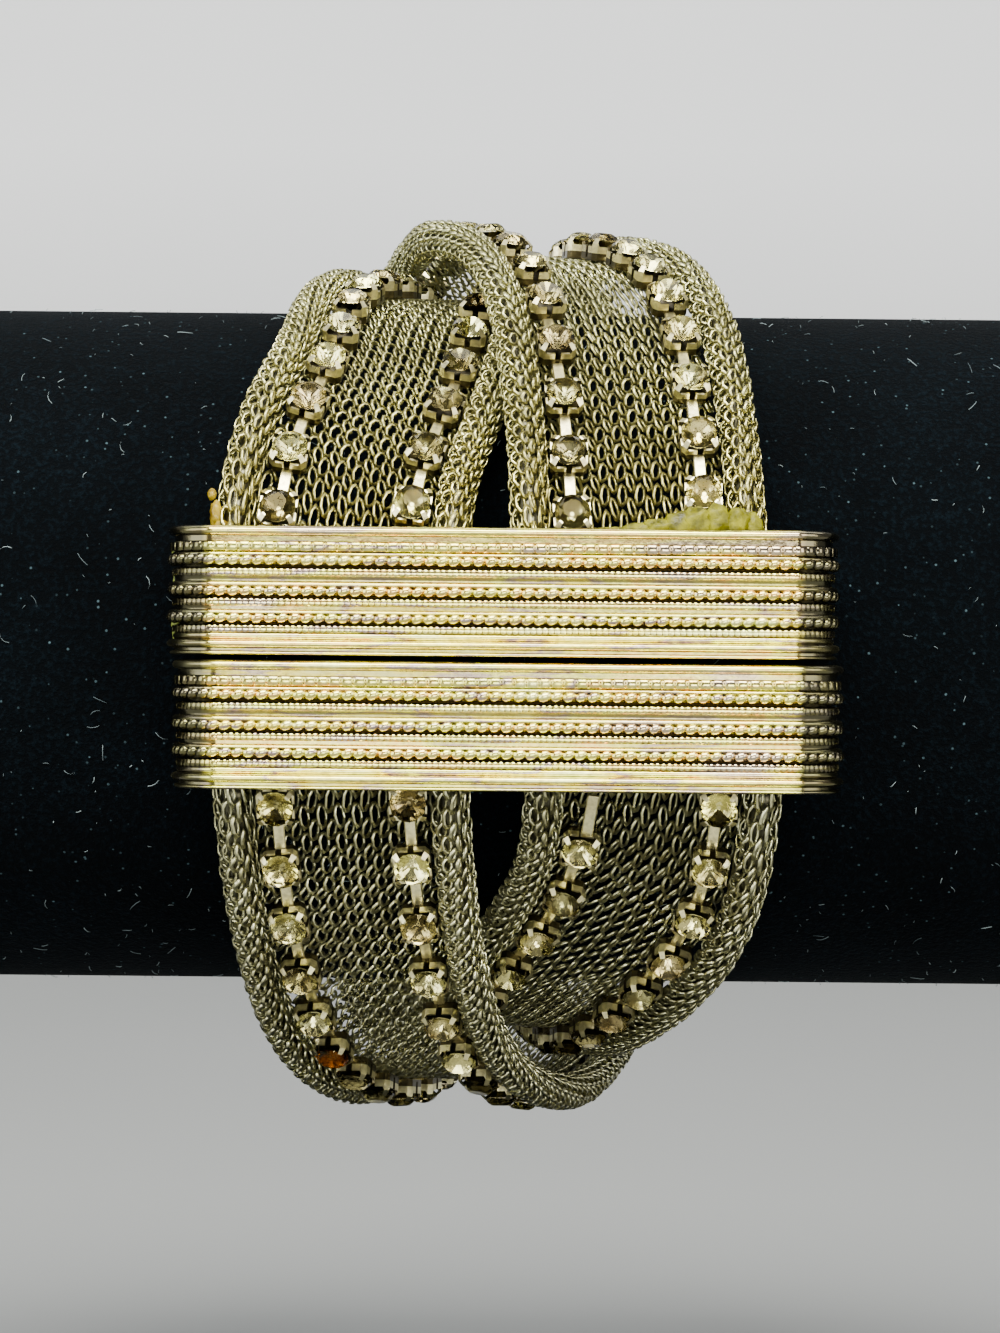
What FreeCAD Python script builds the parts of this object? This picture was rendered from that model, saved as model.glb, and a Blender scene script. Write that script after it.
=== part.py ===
"""Two-strand ring-mesh bracelet with rhinestone cup chains and a magnetic bar clasp,
held on a plain velvet display bar.

Millimetres, +Z up. The display bar runs along X, the clasp faces -Y, and the base stands
on Z = 0. The bracelet is one whole loop round the bar: two mesh bands leave the upper clasp
half side by side, wind once round each other, and come back to the lower half. Angles round
the loop start at the clasp and grow upwards, over the top and down the back.
"""
import FreeCAD, Part
import math
import os
from collections import namedtuple

Vector = FreeCAD.Vector

# Display bar and its support
BAR_DIAMETER = 50.8
BAR_LENGTH = 114.0
BAR_EDGE = 1.2
BAR_HEIGHT = 68.0
BASE_LENGTH = 124.0
BASE_DEPTH = 72.0
BASE_THICKNESS = 6.0
BASE_CORNER = 5.0
POST_THICKNESS = 9.0
POST_DEPTH = 22.0
POST_SPREAD = 100.0
GAP = 0.1

# The loop hangs a little low on the bar
LOOP_DROP = 1.5
LOOP_HEIGHT = BAR_HEIGHT - LOOP_DROP

# Section of a mesh band: rolled edges, and a flat panel that is level with their undersides
ROLL_DIAMETER = 2.9
ROLL_OFFSET = 7.35
PANEL_THICKNESS = 0.8
BAND_UNDERSIDE = -1.5
BAND_STATIONS = 46

# Cup chains, set in the channel between panel and roll
CHAIN_OFFSET = 4.5
CUP_SIZE = 2.55
CUP_WALL = 0.17
CUP_HEIGHT = 1.4
CUP_FLOOR = 0.4
CUP_PITCH = 4.6
LINK_WIDTH = 0.9
LINK_THICKNESS = 0.35
CHAIN_CLEARANCE = 0.08

# Round cut stones
STONE_DIAMETER = 2.5
STONE_SIDES = 8
TABLE_DIAMETER = 1.4
CROWN_HEIGHT = 0.6
PAVILION_DEPTH = 0.85
STONE_LIFT = 0.12

# Clasp: two equal bar castings, one above the other
CLASP_HALF_HEIGHT = 8.68
CLASP_SEAM = 0.33
CLASP_DROP = 1.0
LOWER_HALF_SHIFT = 0.35
CLASP_BACK = -27.3
CLASP_FRONT = -32.4
POCKET_DEPTH = 3.3
POCKET_FRONT = -31.8
POCKET_BACK = -27.75
POCKET_MARGIN = 0.45
POCKET_CHAMFER = 0.9

# Corner points of the clasp's outline, as half width and distance behind the front
EndPoint = namedtuple("EndPoint", "half_width behind_front")
CLASP_END = [
    EndPoint(19.7, 0.0),
    EndPoint(21.4, 0.9),
    EndPoint(22.3, 2.5),
    EndPoint(22.4, 5.1),
]

# Cast relief from the top edge of a half down to its foot
Relief = namedtuple("Relief", "name height rise")
CLASP_RELIEF = [
    Relief("rim bead", 0.69, 0.45),
    Relief("rim groove", 0.35, 0.0),
    Relief("square beads", 0.71, 0.35),
    Relief("wire", 0.35, 0.25),
    Relief("rope", 0.74, 0.5),
    Relief("fine beads", 0.58, 0.2),
    Relief("groove", 0.29, 0.0),
    Relief("plain ridge", 0.48, 0.4),
    Relief("rope", 0.69, 0.5),
    Relief("fine beads", 0.53, 0.2),
    Relief("groove", 0.21, 0.0),
    Relief("plain ridge", 0.39, 0.4),
    Relief("rope", 0.66, 0.5),
    Relief("fine beads", 0.53, 0.2),
    Relief("thin ridge", 0.4, 0.12),
    Relief("wide ridge", 0.64, 0.5),
    Relief("foot groove", 0.16, 0.0),
    Relief("foot lip", 0.28, 0.3),
]
RELIEF_FLANK = 0.25

# Course of each band: angle round the loop, sideways place, distance from the loop's
# centre, and the tilt that lifts the right edge outwards
Course = namedtuple("Course", "angle across radius tilt")
BAND_COURSES = {
    "left": [
        Course(14.5, -11.1, 31.25, 0.0),
        Course(28.0, -10.2, 30.50, -2.0),
        Course(40.0, -8.6, 29.70, -4.0),
        Course(52.0, -7.4, 29.05, -4.0),
        Course(64.0, -6.7, 28.80, -3.0),
        Course(80.0, -4.9, 28.75, -1.0),
        Course(96.0, -2.3, 28.75, 0.0),
        Course(112.0, 0.9, 28.75, 1.5),
        Course(136.0, 5.6, 29.00, 4.0),
        Course(158.0, 8.6, 30.00, 3.0),
        Course(180.0, 9.6, 30.60, 0.0),
        Course(202.0, 8.9, 31.30, -3.0),
        Course(224.0, 6.2, 32.20, -4.0),
        Course(246.0, 2.6, 32.40, -2.0),
        Course(262.0, -0.2, 32.30, 0.0),
        Course(277.0, -2.9, 32.20, 1.0),
        Course(293.0, -6.1, 32.10, 3.0),
        Course(305.0, -8.1, 31.85, 4.0),
        Course(318.0, -9.5, 31.45, 4.0),
        Course(331.0, -10.4, 31.00, 2.0),
        Course(347.0, -10.95, 31.00, 0.0),
    ],
    "right": [
        Course(14.5, 9.2, 31.25, 0.0),
        Course(30.0, 8.8, 31.00, -2.0),
        Course(45.0, 8.0, 31.60, -4.0),
        Course(60.0, 6.5, 32.00, -6.0),
        Course(75.0, 3.8, 32.10, -6.0),
        Course(84.0, 1.9, 32.15, -4.0),
        Course(98.0, 0.1, 32.30, 0.0),
        Course(112.0, -1.9, 32.40, 2.0),
        Course(134.0, -5.7, 32.30, 4.0),
        Course(157.0, -8.6, 31.30, 3.0),
        Course(180.0, -9.6, 30.60, 0.0),
        Course(202.0, -8.9, 29.80, -3.0),
        Course(224.0, -6.6, 28.70, -4.0),
        Course(246.0, -3.7, 28.20, -2.0),
        Course(262.0, -1.9, 28.10, 0.0),
        Course(277.0, 0.0, 28.10, 1.0),
        Course(293.0, 2.4, 28.20, 2.0),
        Course(309.0, 5.4, 28.60, 4.0),
        Course(321.0, 8.0, 29.30, 4.0),
        Course(333.0, 9.7, 30.30, 2.0),
        Course(347.0, 10.3, 31.00, 0.0),
    ],
}

# Cup chains: the band they lie on, their line on it, and how far the middle of the first
# and last cup is from the two ends of the band
Chain = namedtuple("Chain", "name band aside start end")
CHAINS = [
    Chain("left_a", "left", -CHAIN_OFFSET, 2.4, 2.4),
    Chain("left_b", "left", CHAIN_OFFSET, 3.6, 2.4),
    Chain("right_a", "right", -CHAIN_OFFSET, 2.7, 5.9),
    Chain("right_b", "right", CHAIN_OFFSET, 4.0, 2.2),
]


def natural_spline(knots, values):
    """Return a smooth function through the values, with no bend at its two ends."""
    count = len(knots)
    spans = [knots[i + 1] - knots[i] for i in range(count - 1)]
    slopes = [(values[i + 1] - values[i]) / spans[i] for i in range(count - 1)]
    bend = [0.0] * count
    ratio = [0.0] * count
    for i in range(1, count - 1):
        pivot = 2.0 * (spans[i - 1] + spans[i]) - spans[i - 1] * ratio[i - 1]
        ratio[i] = spans[i] / pivot
        bend[i] = (6.0 * (slopes[i] - slopes[i - 1]) - spans[i - 1] * bend[i - 1]) / pivot
    for i in range(count - 2, 0, -1):
        bend[i] -= ratio[i] * bend[i + 1]

    def value(knot):
        i = max(0, min(count - 2, sum(1 for k in knots[1:-1] if knot >= k)))
        span = spans[i]
        ahead = (knots[i + 1] - knot) / span
        behind = (knot - knots[i]) / span
        curve = (ahead**3 - ahead) * bend[i] + (behind**3 - behind) * bend[i + 1]
        return ahead * values[i] + behind * values[i + 1] + curve * span * span / 6.0

    return value


class BandCourse:
    """The centre line of one band and the frame that its section stands in."""

    TABLE_STEP = 0.5

    def __init__(self, rows):
        angles = [row.angle for row in rows]
        self.across = natural_spline(angles, [row.across for row in rows])
        self.radius = natural_spline(angles, [row.radius for row in rows])
        self.tilt = natural_spline(angles, [row.tilt for row in rows])
        self.first = angles[0]
        self.last = angles[-1]

    def centre(self, angle):
        turn = math.radians(angle)
        radius = self.radius(angle)
        return Vector(
            self.across(angle),
            -radius * math.cos(turn),
            LOOP_HEIGHT + radius * math.sin(turn),
        )

    def frame(self, angle):
        """Centre, direction of travel, sideways direction and outward direction."""
        turn = math.radians(angle)
        along = (self.centre(angle + 0.1) - self.centre(angle - 0.1)).normalize()
        outward = Vector(0.0, -math.cos(turn), math.sin(turn))
        outward = (outward - along * outward.dot(along)).normalize()
        sideways = along.cross(outward)
        tilt = math.radians(self.tilt(angle))
        tilted = sideways * math.cos(tilt) + outward * math.sin(tilt)
        raised = outward * math.cos(tilt) - sideways * math.sin(tilt)
        return self.centre(angle), along, tilted, raised

    def place(self, angle, aside, out):
        centre, along, sideways, outward = self.frame(angle)
        return centre + sideways * aside + outward * out

    def even_angles(self, aside, out, start, end, pitch):
        """Angles of the evenly spaced places along one line of the band."""
        steps = int((self.last - self.first) / self.TABLE_STEP)
        angles = [self.first + (self.last - self.first) * i / steps for i in range(steps + 1)]
        points = [self.place(angle, aside, out) for angle in angles]
        run = [0.0]
        for before, after in zip(points, points[1:]):
            run.append(run[-1] + (after - before).Length)
        usable = run[-1] - start - end
        count = int(round(usable / pitch))
        result = []
        for step in range(count + 1):
            wanted = start + usable * step / count
            i = max(k for k in range(len(run) - 1) if run[k] <= wanted)
            part = (wanted - run[i]) / (run[i + 1] - run[i])
            result.append(angles[i] + part * (angles[i + 1] - angles[i]))
        return result


def facet_solid(points, triangles):
    """A closed solid from shared corner points and outward triangles."""
    shape = Part.Shape()
    shape.makeShapeFromMesh((points, triangles), 0.0005)
    solid = Part.makeSolid(Part.Shell(shape.Faces))
    if solid.Volume < 0.0:
        solid.reverse()
    return solid


def cap_triangles(points):
    """Triangles that close a planar outline, as indices into it."""
    face = Part.Face(Part.makePolygon(points + [points[0]]))
    corners, triangles = face.tessellate(0.1)
    order = []
    for corner in corners:
        distances = [(corner - point).Length for point in points]
        order.append(distances.index(min(distances)))
    wanted = face.normalAt(0.0, 0.0)
    result = []
    for a, b, c in triangles:
        normal = (corners[b] - corners[a]).cross(corners[c] - corners[a])
        indices = [order[a], order[b], order[c]]
        result.append(indices if normal.dot(wanted) > 0.0 else indices[::-1])
    return result, wanted


def swept_solid(sections):
    """A closed solid through outlines that all have the same number of corners."""
    size = len(sections[0])
    points = [point for section in sections for point in section]
    triangles = []
    for row in range(len(sections) - 1):
        for column in range(size):
            a = row * size + column
            b = row * size + (column + 1) % size
            c = b + size
            d = a + size
            if (points[a] - points[c]).Length <= (points[b] - points[d]).Length:
                triangles += [(a, b, c), (a, c, d)]
            else:
                triangles += [(a, b, d), (b, c, d)]
    forward = sections[1][0] - sections[0][0]
    flow = normal_of(points, triangles[0])
    middle = sum(sections[0], Vector()) * (1.0 / size)
    if flow.dot(outward_hint(sections[0], middle)) < 0.0:
        triangles = [t[::-1] for t in triangles]
    for offset, section, direction in (
        (0, sections[0], -1.0),
        (len(points) - size, sections[-1], 1.0),
    ):
        cap, normal = cap_triangles(section)
        facing_out = normal.dot(forward) * direction > 0.0
        for triangle in cap:
            indices = tuple(offset + i for i in triangle)
            triangles.append(indices if facing_out else indices[::-1])
    return facet_solid(points, triangles)


def normal_of(points, triangle):
    a, b, c = (points[i] for i in triangle)
    return (b - a).cross(c - a)


def outward_hint(section, middle):
    """A direction that leads out of the section beside its first side."""
    return (section[0] + section[1]) * 0.5 - middle


def band_section():
    """Outline of a mesh band as sideways and outward places, starting at the left tip."""
    radius = ROLL_DIAMETER / 2.0
    level = BAND_UNDERSIDE + radius
    corner = radius * math.cos(math.pi / 4.0)
    panel_top = BAND_UNDERSIDE + PANEL_THICKNESS
    inner = ROLL_OFFSET - radius
    upper = [
        (ROLL_OFFSET + radius, level),
        (ROLL_OFFSET + corner, level + corner),
        (ROLL_OFFSET, level + radius),
        (ROLL_OFFSET - corner, level + corner),
        (inner, level),
        (inner, panel_top),
    ]
    lower = [
        (ROLL_OFFSET, BAND_UNDERSIDE),
        (ROLL_OFFSET + corner, level - corner),
    ]
    left = [(-aside, out) for aside, out in upper]
    right = upper[::-1]
    foot_right = lower[::-1]
    foot_left = [(-aside, out) for aside, out in lower]
    return left + right + foot_right + foot_left


def mesh_band(course):
    outline = band_section()
    sections = []
    for station in range(BAND_STATIONS + 1):
        angle = course.first + (course.last - course.first) * station / BAND_STATIONS
        sections.append([course.place(angle, aside, out) for aside, out in outline])
    return swept_solid(sections)


def chain_frames(course, chain):
    """Frames of the cups along their line of a band."""
    aside = chain.aside
    base = BAND_UNDERSIDE + PANEL_THICKNESS + CHAIN_CLEARANCE
    angles = course.even_angles(aside, base, chain.start, chain.end, CUP_PITCH)
    frames = []
    for angle in angles:
        centre, along, sideways, outward = course.frame(angle)
        seat = course.place(angle, aside, base)
        step = course.place(angle + 0.5, aside, base) - course.place(angle - 0.5, aside, base)
        along = (step - outward * step.dot(outward)).normalize()
        frames.append((seat, along, along.cross(outward), outward))
    return frames


class Facets:
    """Corner points and triangles of a faceted solid, gathered one wall at a time."""

    def __init__(self):
        self.points = []
        self.triangles = []

    def corner(self, frame, lengthwise, crosswise, out):
        origin, along, sideways, outward = frame
        place = origin + along * lengthwise + sideways * crosswise + outward * out
        self.points.append(place)
        return len(self.points) - 1

    def wall(self, a, b, c, d):
        self.triangles += [(a, b, c), (a, c, d)]

    def solid(self):
        return facet_solid(self.points, self.triangles)


def cup_end(facets, frame, facing):
    """One end wall of a cup round the mouth where its link comes in."""
    place = facing * CUP_SIZE / 2.0
    corners = []
    for width, height in ((CUP_SIZE, CUP_HEIGHT), (LINK_WIDTH, LINK_THICKNESS)):
        for crosswise, out in ((-0.5, 0.0), (0.5, 0.0), (0.5, 1.0), (-0.5, 1.0)):
            corners.append(facets.corner(frame, place, crosswise * width, out * height))
    outer = corners[:4]
    mouth = corners[4:]
    walls = [
        (outer[0], mouth[0], mouth[3], outer[3]),
        (mouth[1], outer[1], outer[2], mouth[2]),
        (mouth[3], mouth[2], outer[2], outer[3]),
    ]
    for wall in walls:
        facets.wall(*(wall[::-1] if facing > 0 else wall))
    return outer, mouth


def cup_body(facets, frame, back, front):
    """Side walls, underside, rim and pointed seat of a cup between its two end walls."""
    back_outer, back_mouth = back
    front_outer, front_mouth = front
    facets.wall(back_outer[0], back_outer[3], front_outer[3], front_outer[0])
    facets.wall(back_outer[1], front_outer[1], front_outer[2], back_outer[2])
    facets.wall(back_outer[0], front_outer[0], front_mouth[0], back_mouth[0])
    facets.wall(back_mouth[0], front_mouth[0], front_mouth[1], back_mouth[1])
    facets.wall(back_mouth[1], front_mouth[1], front_outer[1], back_outer[1])
    half = CUP_SIZE / 2.0 - CUP_WALL
    rim = [back_outer[3], back_outer[2], front_outer[2], front_outer[3]]
    edge = [
        facets.corner(frame, lengthwise * half, crosswise * half, CUP_HEIGHT)
        for lengthwise, crosswise in ((-1, -1), (-1, 1), (1, 1), (1, -1))
    ]
    bottom = facets.corner(frame, 0.0, 0.0, CUP_FLOOR)
    for i in range(4):
        j = (i + 1) % 4
        facets.wall(rim[i], rim[j], edge[j], edge[i])
        facets.triangles.append((edge[i], edge[j], bottom))


def cup_chain(frames):
    """Square cups with open seats and the flat links between them, soldered into one."""
    facets = Facets()
    ends = [(cup_end(facets, frame, -1), cup_end(facets, frame, 1)) for frame in frames]
    for frame, (back, front) in zip(frames, ends):
        cup_body(facets, frame, back, front)
    for (_, front), (back, _) in zip(ends, ends[1:]):
        for i in range(4):
            j = (i + 1) % 4
            facets.wall(front[1][i], back[1][i], back[1][j], front[1][j])
    first = ends[0][0][1]
    last = ends[-1][1][1]
    facets.wall(*first)
    facets.wall(*last[::-1])
    return facets.solid()


def cut_stone(frame):
    """A round stone with a flat table, eight crown facets and a pointed back."""
    facets = Facets()
    girdle = CUP_HEIGHT + STONE_LIFT
    point = facets.corner(frame, 0.0, 0.0, girdle - PAVILION_DEPTH)
    rings = []
    for diameter, out in ((STONE_DIAMETER, girdle), (TABLE_DIAMETER, girdle + CROWN_HEIGHT)):
        ring = []
        for side in range(STONE_SIDES):
            turn = 2.0 * math.pi * (side + 0.5) / STONE_SIDES
            lengthwise = diameter / 2.0 * math.cos(turn)
            crosswise = diameter / 2.0 * math.sin(turn)
            ring.append(facets.corner(frame, lengthwise, crosswise, out))
        rings.append(ring)
    edge, table = rings
    for side in range(STONE_SIDES):
        after = (side + 1) % STONE_SIDES
        facets.triangles.append((point, edge[after], edge[side]))
        facets.wall(edge[side], edge[after], table[after], table[side])
    for side in range(1, STONE_SIDES - 1):
        facets.triangles.append((table[0], table[side], table[side + 1]))
    return facets.solid()


def clasp_outline(rise, height):
    """The clasp's outline seen from above, with its front and ends moved out by the rise."""
    front = CLASP_FRONT - rise
    right = []
    for point in CLASP_END:
        share = point.behind_front / (CLASP_BACK - CLASP_FRONT)
        depth = front + share * (CLASP_BACK - front)
        right.append(Vector(point.half_width + rise * share, depth, height))
    left = [Vector(-corner.x, corner.y, height) for corner in right[::-1]]
    return left + right


def relief_levels():
    """Depth below the top edge and rise for each change of the cast relief."""
    levels = []
    depth = 0.0
    for row in CLASP_RELIEF:
        flank = RELIEF_FLANK * row.height
        if row.rise > 0.0:
            levels.append((depth, 0.0))
            levels.append((depth + flank, row.rise))
            levels.append((depth + row.height - flank, row.rise))
        else:
            levels.append((depth, 0.0))
        depth += row.height
    levels.append((depth, 0.0))
    scale = CLASP_HALF_HEIGHT / depth
    return [(place * scale, rise) for place, rise in levels]


def clasp_half(top, shift, pocket_top, pockets):
    """One casting, with a pocket in its outer edge for the end of each band."""
    wires = []
    for depth, rise in relief_levels():
        corners = clasp_outline(rise, top - depth)
        wires.append(Part.makePolygon(corners + [corners[0]]))
    body = Part.makeLoft(wires, True, True)
    body.translate(Vector(shift, 0.0, 0.0))
    for low, high in pockets:
        cut = Part.Face(Part.makePolygon(pocket_outline(low, high, pocket_top)))
        body = body.cut(cut.extrude(Vector(0.0, 0.0, POCKET_DEPTH + 1.0)))
    return body


def pocket_outline(low, high, height):
    """A slot with bevelled corners, seen from above."""
    corner = POCKET_CHAMFER
    points = [
        Vector(low, POCKET_FRONT + corner, height),
        Vector(low + corner, POCKET_FRONT, height),
        Vector(high - corner, POCKET_FRONT, height),
        Vector(high, POCKET_FRONT + corner, height),
        Vector(high, POCKET_BACK - corner, height),
        Vector(high - corner, POCKET_BACK, height),
        Vector(low + corner, POCKET_BACK, height),
        Vector(low, POCKET_BACK - corner, height),
    ]
    return points + [points[0]]


def band_pockets(courses, at_end):
    reach = ROLL_OFFSET + ROLL_DIAMETER / 2.0 + POCKET_MARGIN
    pockets = []
    for course in courses:
        middle = course.across(course.last if at_end else course.first)
        pockets.append((middle - reach, middle + reach))
    return pockets


def display_bar():
    bar = Part.makeCylinder(
        BAR_DIAMETER / 2.0,
        BAR_LENGTH,
        Vector(-BAR_LENGTH / 2.0, 0.0, BAR_HEIGHT),
        Vector(1.0, 0.0, 0.0),
    )
    return bar.makeFillet(BAR_EDGE, [edge for edge in bar.Edges if edge.Closed])


def display_base():
    base = Part.makeBox(
        BASE_LENGTH,
        BASE_DEPTH,
        BASE_THICKNESS,
        Vector(-BASE_LENGTH / 2.0, -BASE_DEPTH / 2.0, 0.0),
    )
    upright = [edge for edge in base.Edges if abs(edge.tangentAt(edge.FirstParameter).z) > 0.9]
    base = base.makeFillet(BASE_CORNER, upright)
    rim = [edge for edge in base.Edges if edge.BoundBox.ZMin > BASE_THICKNESS - 0.01]
    return base.makeFillet(BAR_EDGE, rim)


def display_post(side):
    foot = BASE_THICKNESS + GAP
    post = Part.makeBox(
        POST_THICKNESS,
        POST_DEPTH,
        BAR_HEIGHT - foot,
        Vector(side * POST_SPREAD / 2.0 - POST_THICKNESS / 2.0, -POST_DEPTH / 2.0, foot),
    )
    saddle = Part.makeCylinder(
        BAR_DIAMETER / 2.0 + GAP,
        BAR_LENGTH,
        Vector(-BAR_LENGTH / 2.0, 0.0, BAR_HEIGHT),
        Vector(1.0, 0.0, 0.0),
    )
    return post.cut(saddle)


def make_parts():
    courses = {name: BandCourse(rows) for name, rows in BAND_COURSES.items()}
    clasp_middle = BAR_HEIGHT - CLASP_DROP
    upper_top = clasp_middle + CLASP_SEAM / 2.0 + CLASP_HALF_HEIGHT
    lower_top = clasp_middle - CLASP_SEAM / 2.0
    upper_pocket = upper_top - POCKET_DEPTH
    lower_pocket = lower_top - CLASP_HALF_HEIGHT - 1.0
    upper_pockets = band_pockets(courses.values(), False)
    lower_pockets = band_pockets(courses.values(), True)
    parts = {
        "display_bar": display_bar(),
        "display_base": display_base(),
        "display_post_left": display_post(-1),
        "display_post_right": display_post(1),
        "clasp_upper_half": clasp_half(upper_top, 0.0, upper_pocket, upper_pockets),
        "clasp_lower_half": clasp_half(lower_top, LOWER_HALF_SHIFT, lower_pocket, lower_pockets),
    }
    for name, course in courses.items():
        parts["mesh_band_" + name] = mesh_band(course)
    for chain in CHAINS:
        frames = chain_frames(courses[chain.band], chain)
        parts["cup_chain_" + chain.name] = cup_chain(frames)
        parts["stones_" + chain.name] = Part.makeCompound([cut_stone(f) for f in frames])
    return parts


def main():
    os.makedirs("parts", exist_ok=True)
    facets = 0
    for name, shape in make_parts().items():
        shape.exportStep("parts/" + name + ".step")
        faces = len(shape.Faces)
        if not name.startswith("display"):
            facets += faces
        print(name, "valid", shape.isValid(), "solids", len(shape.Solids), "faces", faces,
              "volume", round(shape.Volume, 1))
    print("faces of the jewel in all", facets)


main()
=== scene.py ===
"""Ring-mesh bracelet with rhinestone cup chains and a magnetic bar clasp, on a velvet bar.

Lengths in the tables are millimetres; the finished meshes are in metres. +X runs along the
display bar, -Y points out of the clasp's front, +Z is up.
"""

import math
import random
from collections import namedtuple

import bmesh
import bpy
import numpy as np
from bpy.props import FloatProperty, FloatVectorProperty, IntProperty, PointerProperty
from mathutils import Matrix, Vector, noise


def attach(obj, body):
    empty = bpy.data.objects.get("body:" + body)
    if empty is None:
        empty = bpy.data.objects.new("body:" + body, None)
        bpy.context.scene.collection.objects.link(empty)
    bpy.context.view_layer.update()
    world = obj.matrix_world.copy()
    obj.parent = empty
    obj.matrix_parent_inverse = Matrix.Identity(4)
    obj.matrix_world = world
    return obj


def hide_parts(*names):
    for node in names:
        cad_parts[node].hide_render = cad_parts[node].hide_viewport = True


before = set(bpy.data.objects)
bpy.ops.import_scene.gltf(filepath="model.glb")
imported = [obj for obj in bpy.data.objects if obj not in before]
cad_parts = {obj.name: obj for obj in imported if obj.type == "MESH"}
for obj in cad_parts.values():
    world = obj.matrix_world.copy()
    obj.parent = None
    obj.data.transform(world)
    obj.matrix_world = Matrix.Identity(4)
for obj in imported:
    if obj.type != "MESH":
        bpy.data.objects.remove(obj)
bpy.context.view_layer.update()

bl_info = {
    "name": "Mesh Bracelet on a Display Bar",
    "version": (1, 0, 0),
    "blender": (4, 5, 0),
    "location": "3D View > Sidebar > Bracelet",
    "description": "Builds a ring-mesh bracelet with cup chains and a bar clasp on a velvet bar",
    "category": "Add Mesh",
}

MM = 0.001

# Display bar and the loop that hangs on it
BAR_RADIUS = 25.4
BAR_HALF_LENGTH = 57.0
BAR_HEIGHT = 68.0
LOOP_HEIGHT = 66.5

# Section of a mesh band
ROLL_OFFSET = 7.35
ROLL_RADIUS = 1.45
ROLL_LEVEL = -0.05
PANEL_LEVEL = -1.1
CHAIN_OFFSET = 4.5
CHAIN_BASE = -0.62
CUP_PITCH = 4.6

# Clasp
CLASP_HALF_HEIGHT = 8.68
CLASP_SEAM = 0.33
CLASP_MIDDLE = 67.0
LOWER_HALF_SHIFT = 0.35
CLASP_BACK = -27.3
CLASP_FRONT = -32.4
POCKET_DEPTH = 3.3
POCKET_FRONT = -31.8
POCKET_BACK = -27.75
POCKET_REACH = 9.25

# Course of each band: angle round the loop, sideways place, distance from the loop's
# centre, and the tilt that lifts the right edge outwards
Course = namedtuple("Course", "angle across radius tilt")
BAND_COURSES = {
    "left": [
        Course(14.5, -11.1, 31.25, 0.0),
        Course(28.0, -10.2, 30.50, -2.0),
        Course(40.0, -8.6, 29.70, -4.0),
        Course(52.0, -7.4, 29.05, -4.0),
        Course(64.0, -6.7, 28.80, -3.0),
        Course(80.0, -4.9, 28.75, -1.0),
        Course(96.0, -2.3, 28.75, 0.0),
        Course(112.0, 0.9, 28.75, 1.5),
        Course(136.0, 5.6, 29.00, 4.0),
        Course(158.0, 8.6, 30.00, 3.0),
        Course(180.0, 9.6, 30.60, 0.0),
        Course(202.0, 8.9, 31.30, -3.0),
        Course(224.0, 6.2, 32.20, -4.0),
        Course(246.0, 2.6, 32.40, -2.0),
        Course(262.0, -0.2, 32.30, 0.0),
        Course(277.0, -2.9, 32.20, 1.0),
        Course(293.0, -6.1, 32.10, 3.0),
        Course(305.0, -8.1, 31.85, 4.0),
        Course(318.0, -9.5, 31.45, 4.0),
        Course(331.0, -10.4, 31.00, 2.0),
        Course(347.0, -10.95, 31.00, 0.0),
    ],
    "right": [
        Course(14.5, 9.2, 31.25, 0.0),
        Course(30.0, 8.8, 31.00, -2.0),
        Course(45.0, 8.0, 31.60, -4.0),
        Course(60.0, 6.5, 32.00, -6.0),
        Course(75.0, 3.8, 32.10, -6.0),
        Course(84.0, 1.9, 32.15, -4.0),
        Course(98.0, 0.1, 32.30, 0.0),
        Course(112.0, -1.9, 32.40, 2.0),
        Course(134.0, -5.7, 32.30, 4.0),
        Course(157.0, -8.6, 31.30, 3.0),
        Course(180.0, -9.6, 30.60, 0.0),
        Course(202.0, -8.9, 29.80, -3.0),
        Course(224.0, -6.6, 28.70, -4.0),
        Course(246.0, -3.7, 28.20, -2.0),
        Course(262.0, -1.9, 28.10, 0.0),
        Course(277.0, 0.0, 28.10, 1.0),
        Course(293.0, 2.4, 28.20, 2.0),
        Course(309.0, 5.4, 28.60, 4.0),
        Course(321.0, 8.0, 29.30, 4.0),
        Course(333.0, 9.7, 30.30, 2.0),
        Course(347.0, 10.3, 31.00, 0.0),
    ],
}

# Cup chains: band, line on it, and how far the first and last cup are from its two ends
Chain = namedtuple("Chain", "name band aside start end")
CHAINS = [
    Chain("left_a", "left", -CHAIN_OFFSET, 2.4, 2.4),
    Chain("left_b", "left", CHAIN_OFFSET, 3.6, 2.4),
    Chain("right_a", "right", -CHAIN_OFFSET, 2.7, 5.9),
    Chain("right_b", "right", CHAIN_OFFSET, 4.0, 2.2),
]

# Cast relief of one clasp half from its top edge to its foot
Relief = namedtuple("Relief", "form height rise")
CLASP_RELIEF = [
    Relief("ridge", 0.69, 0.45),
    Relief("groove", 0.35, 0.0),
    Relief("square beads", 0.71, 0.26),
    Relief("ridge", 0.35, 0.25),
    Relief("rope", 0.5, 0.12),
    Relief("undercut", 0.24, -0.4),
    Relief("fine beads", 0.58, 0.15),
    Relief("groove", 0.29, 0.0),
    Relief("ridge", 0.48, 0.4),
    Relief("rope", 0.47, 0.12),
    Relief("undercut", 0.22, -0.4),
    Relief("fine beads", 0.53, 0.15),
    Relief("groove", 0.21, 0.0),
    Relief("ridge", 0.39, 0.4),
    Relief("rope", 0.45, 0.12),
    Relief("undercut", 0.21, -0.4),
    Relief("fine beads", 0.53, 0.15),
    Relief("ridge", 0.4, 0.12),
    Relief("ridge", 0.64, 0.5),
    Relief("groove", 0.16, 0.0),
    Relief("ridge", 0.28, 0.3),
]

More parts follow.
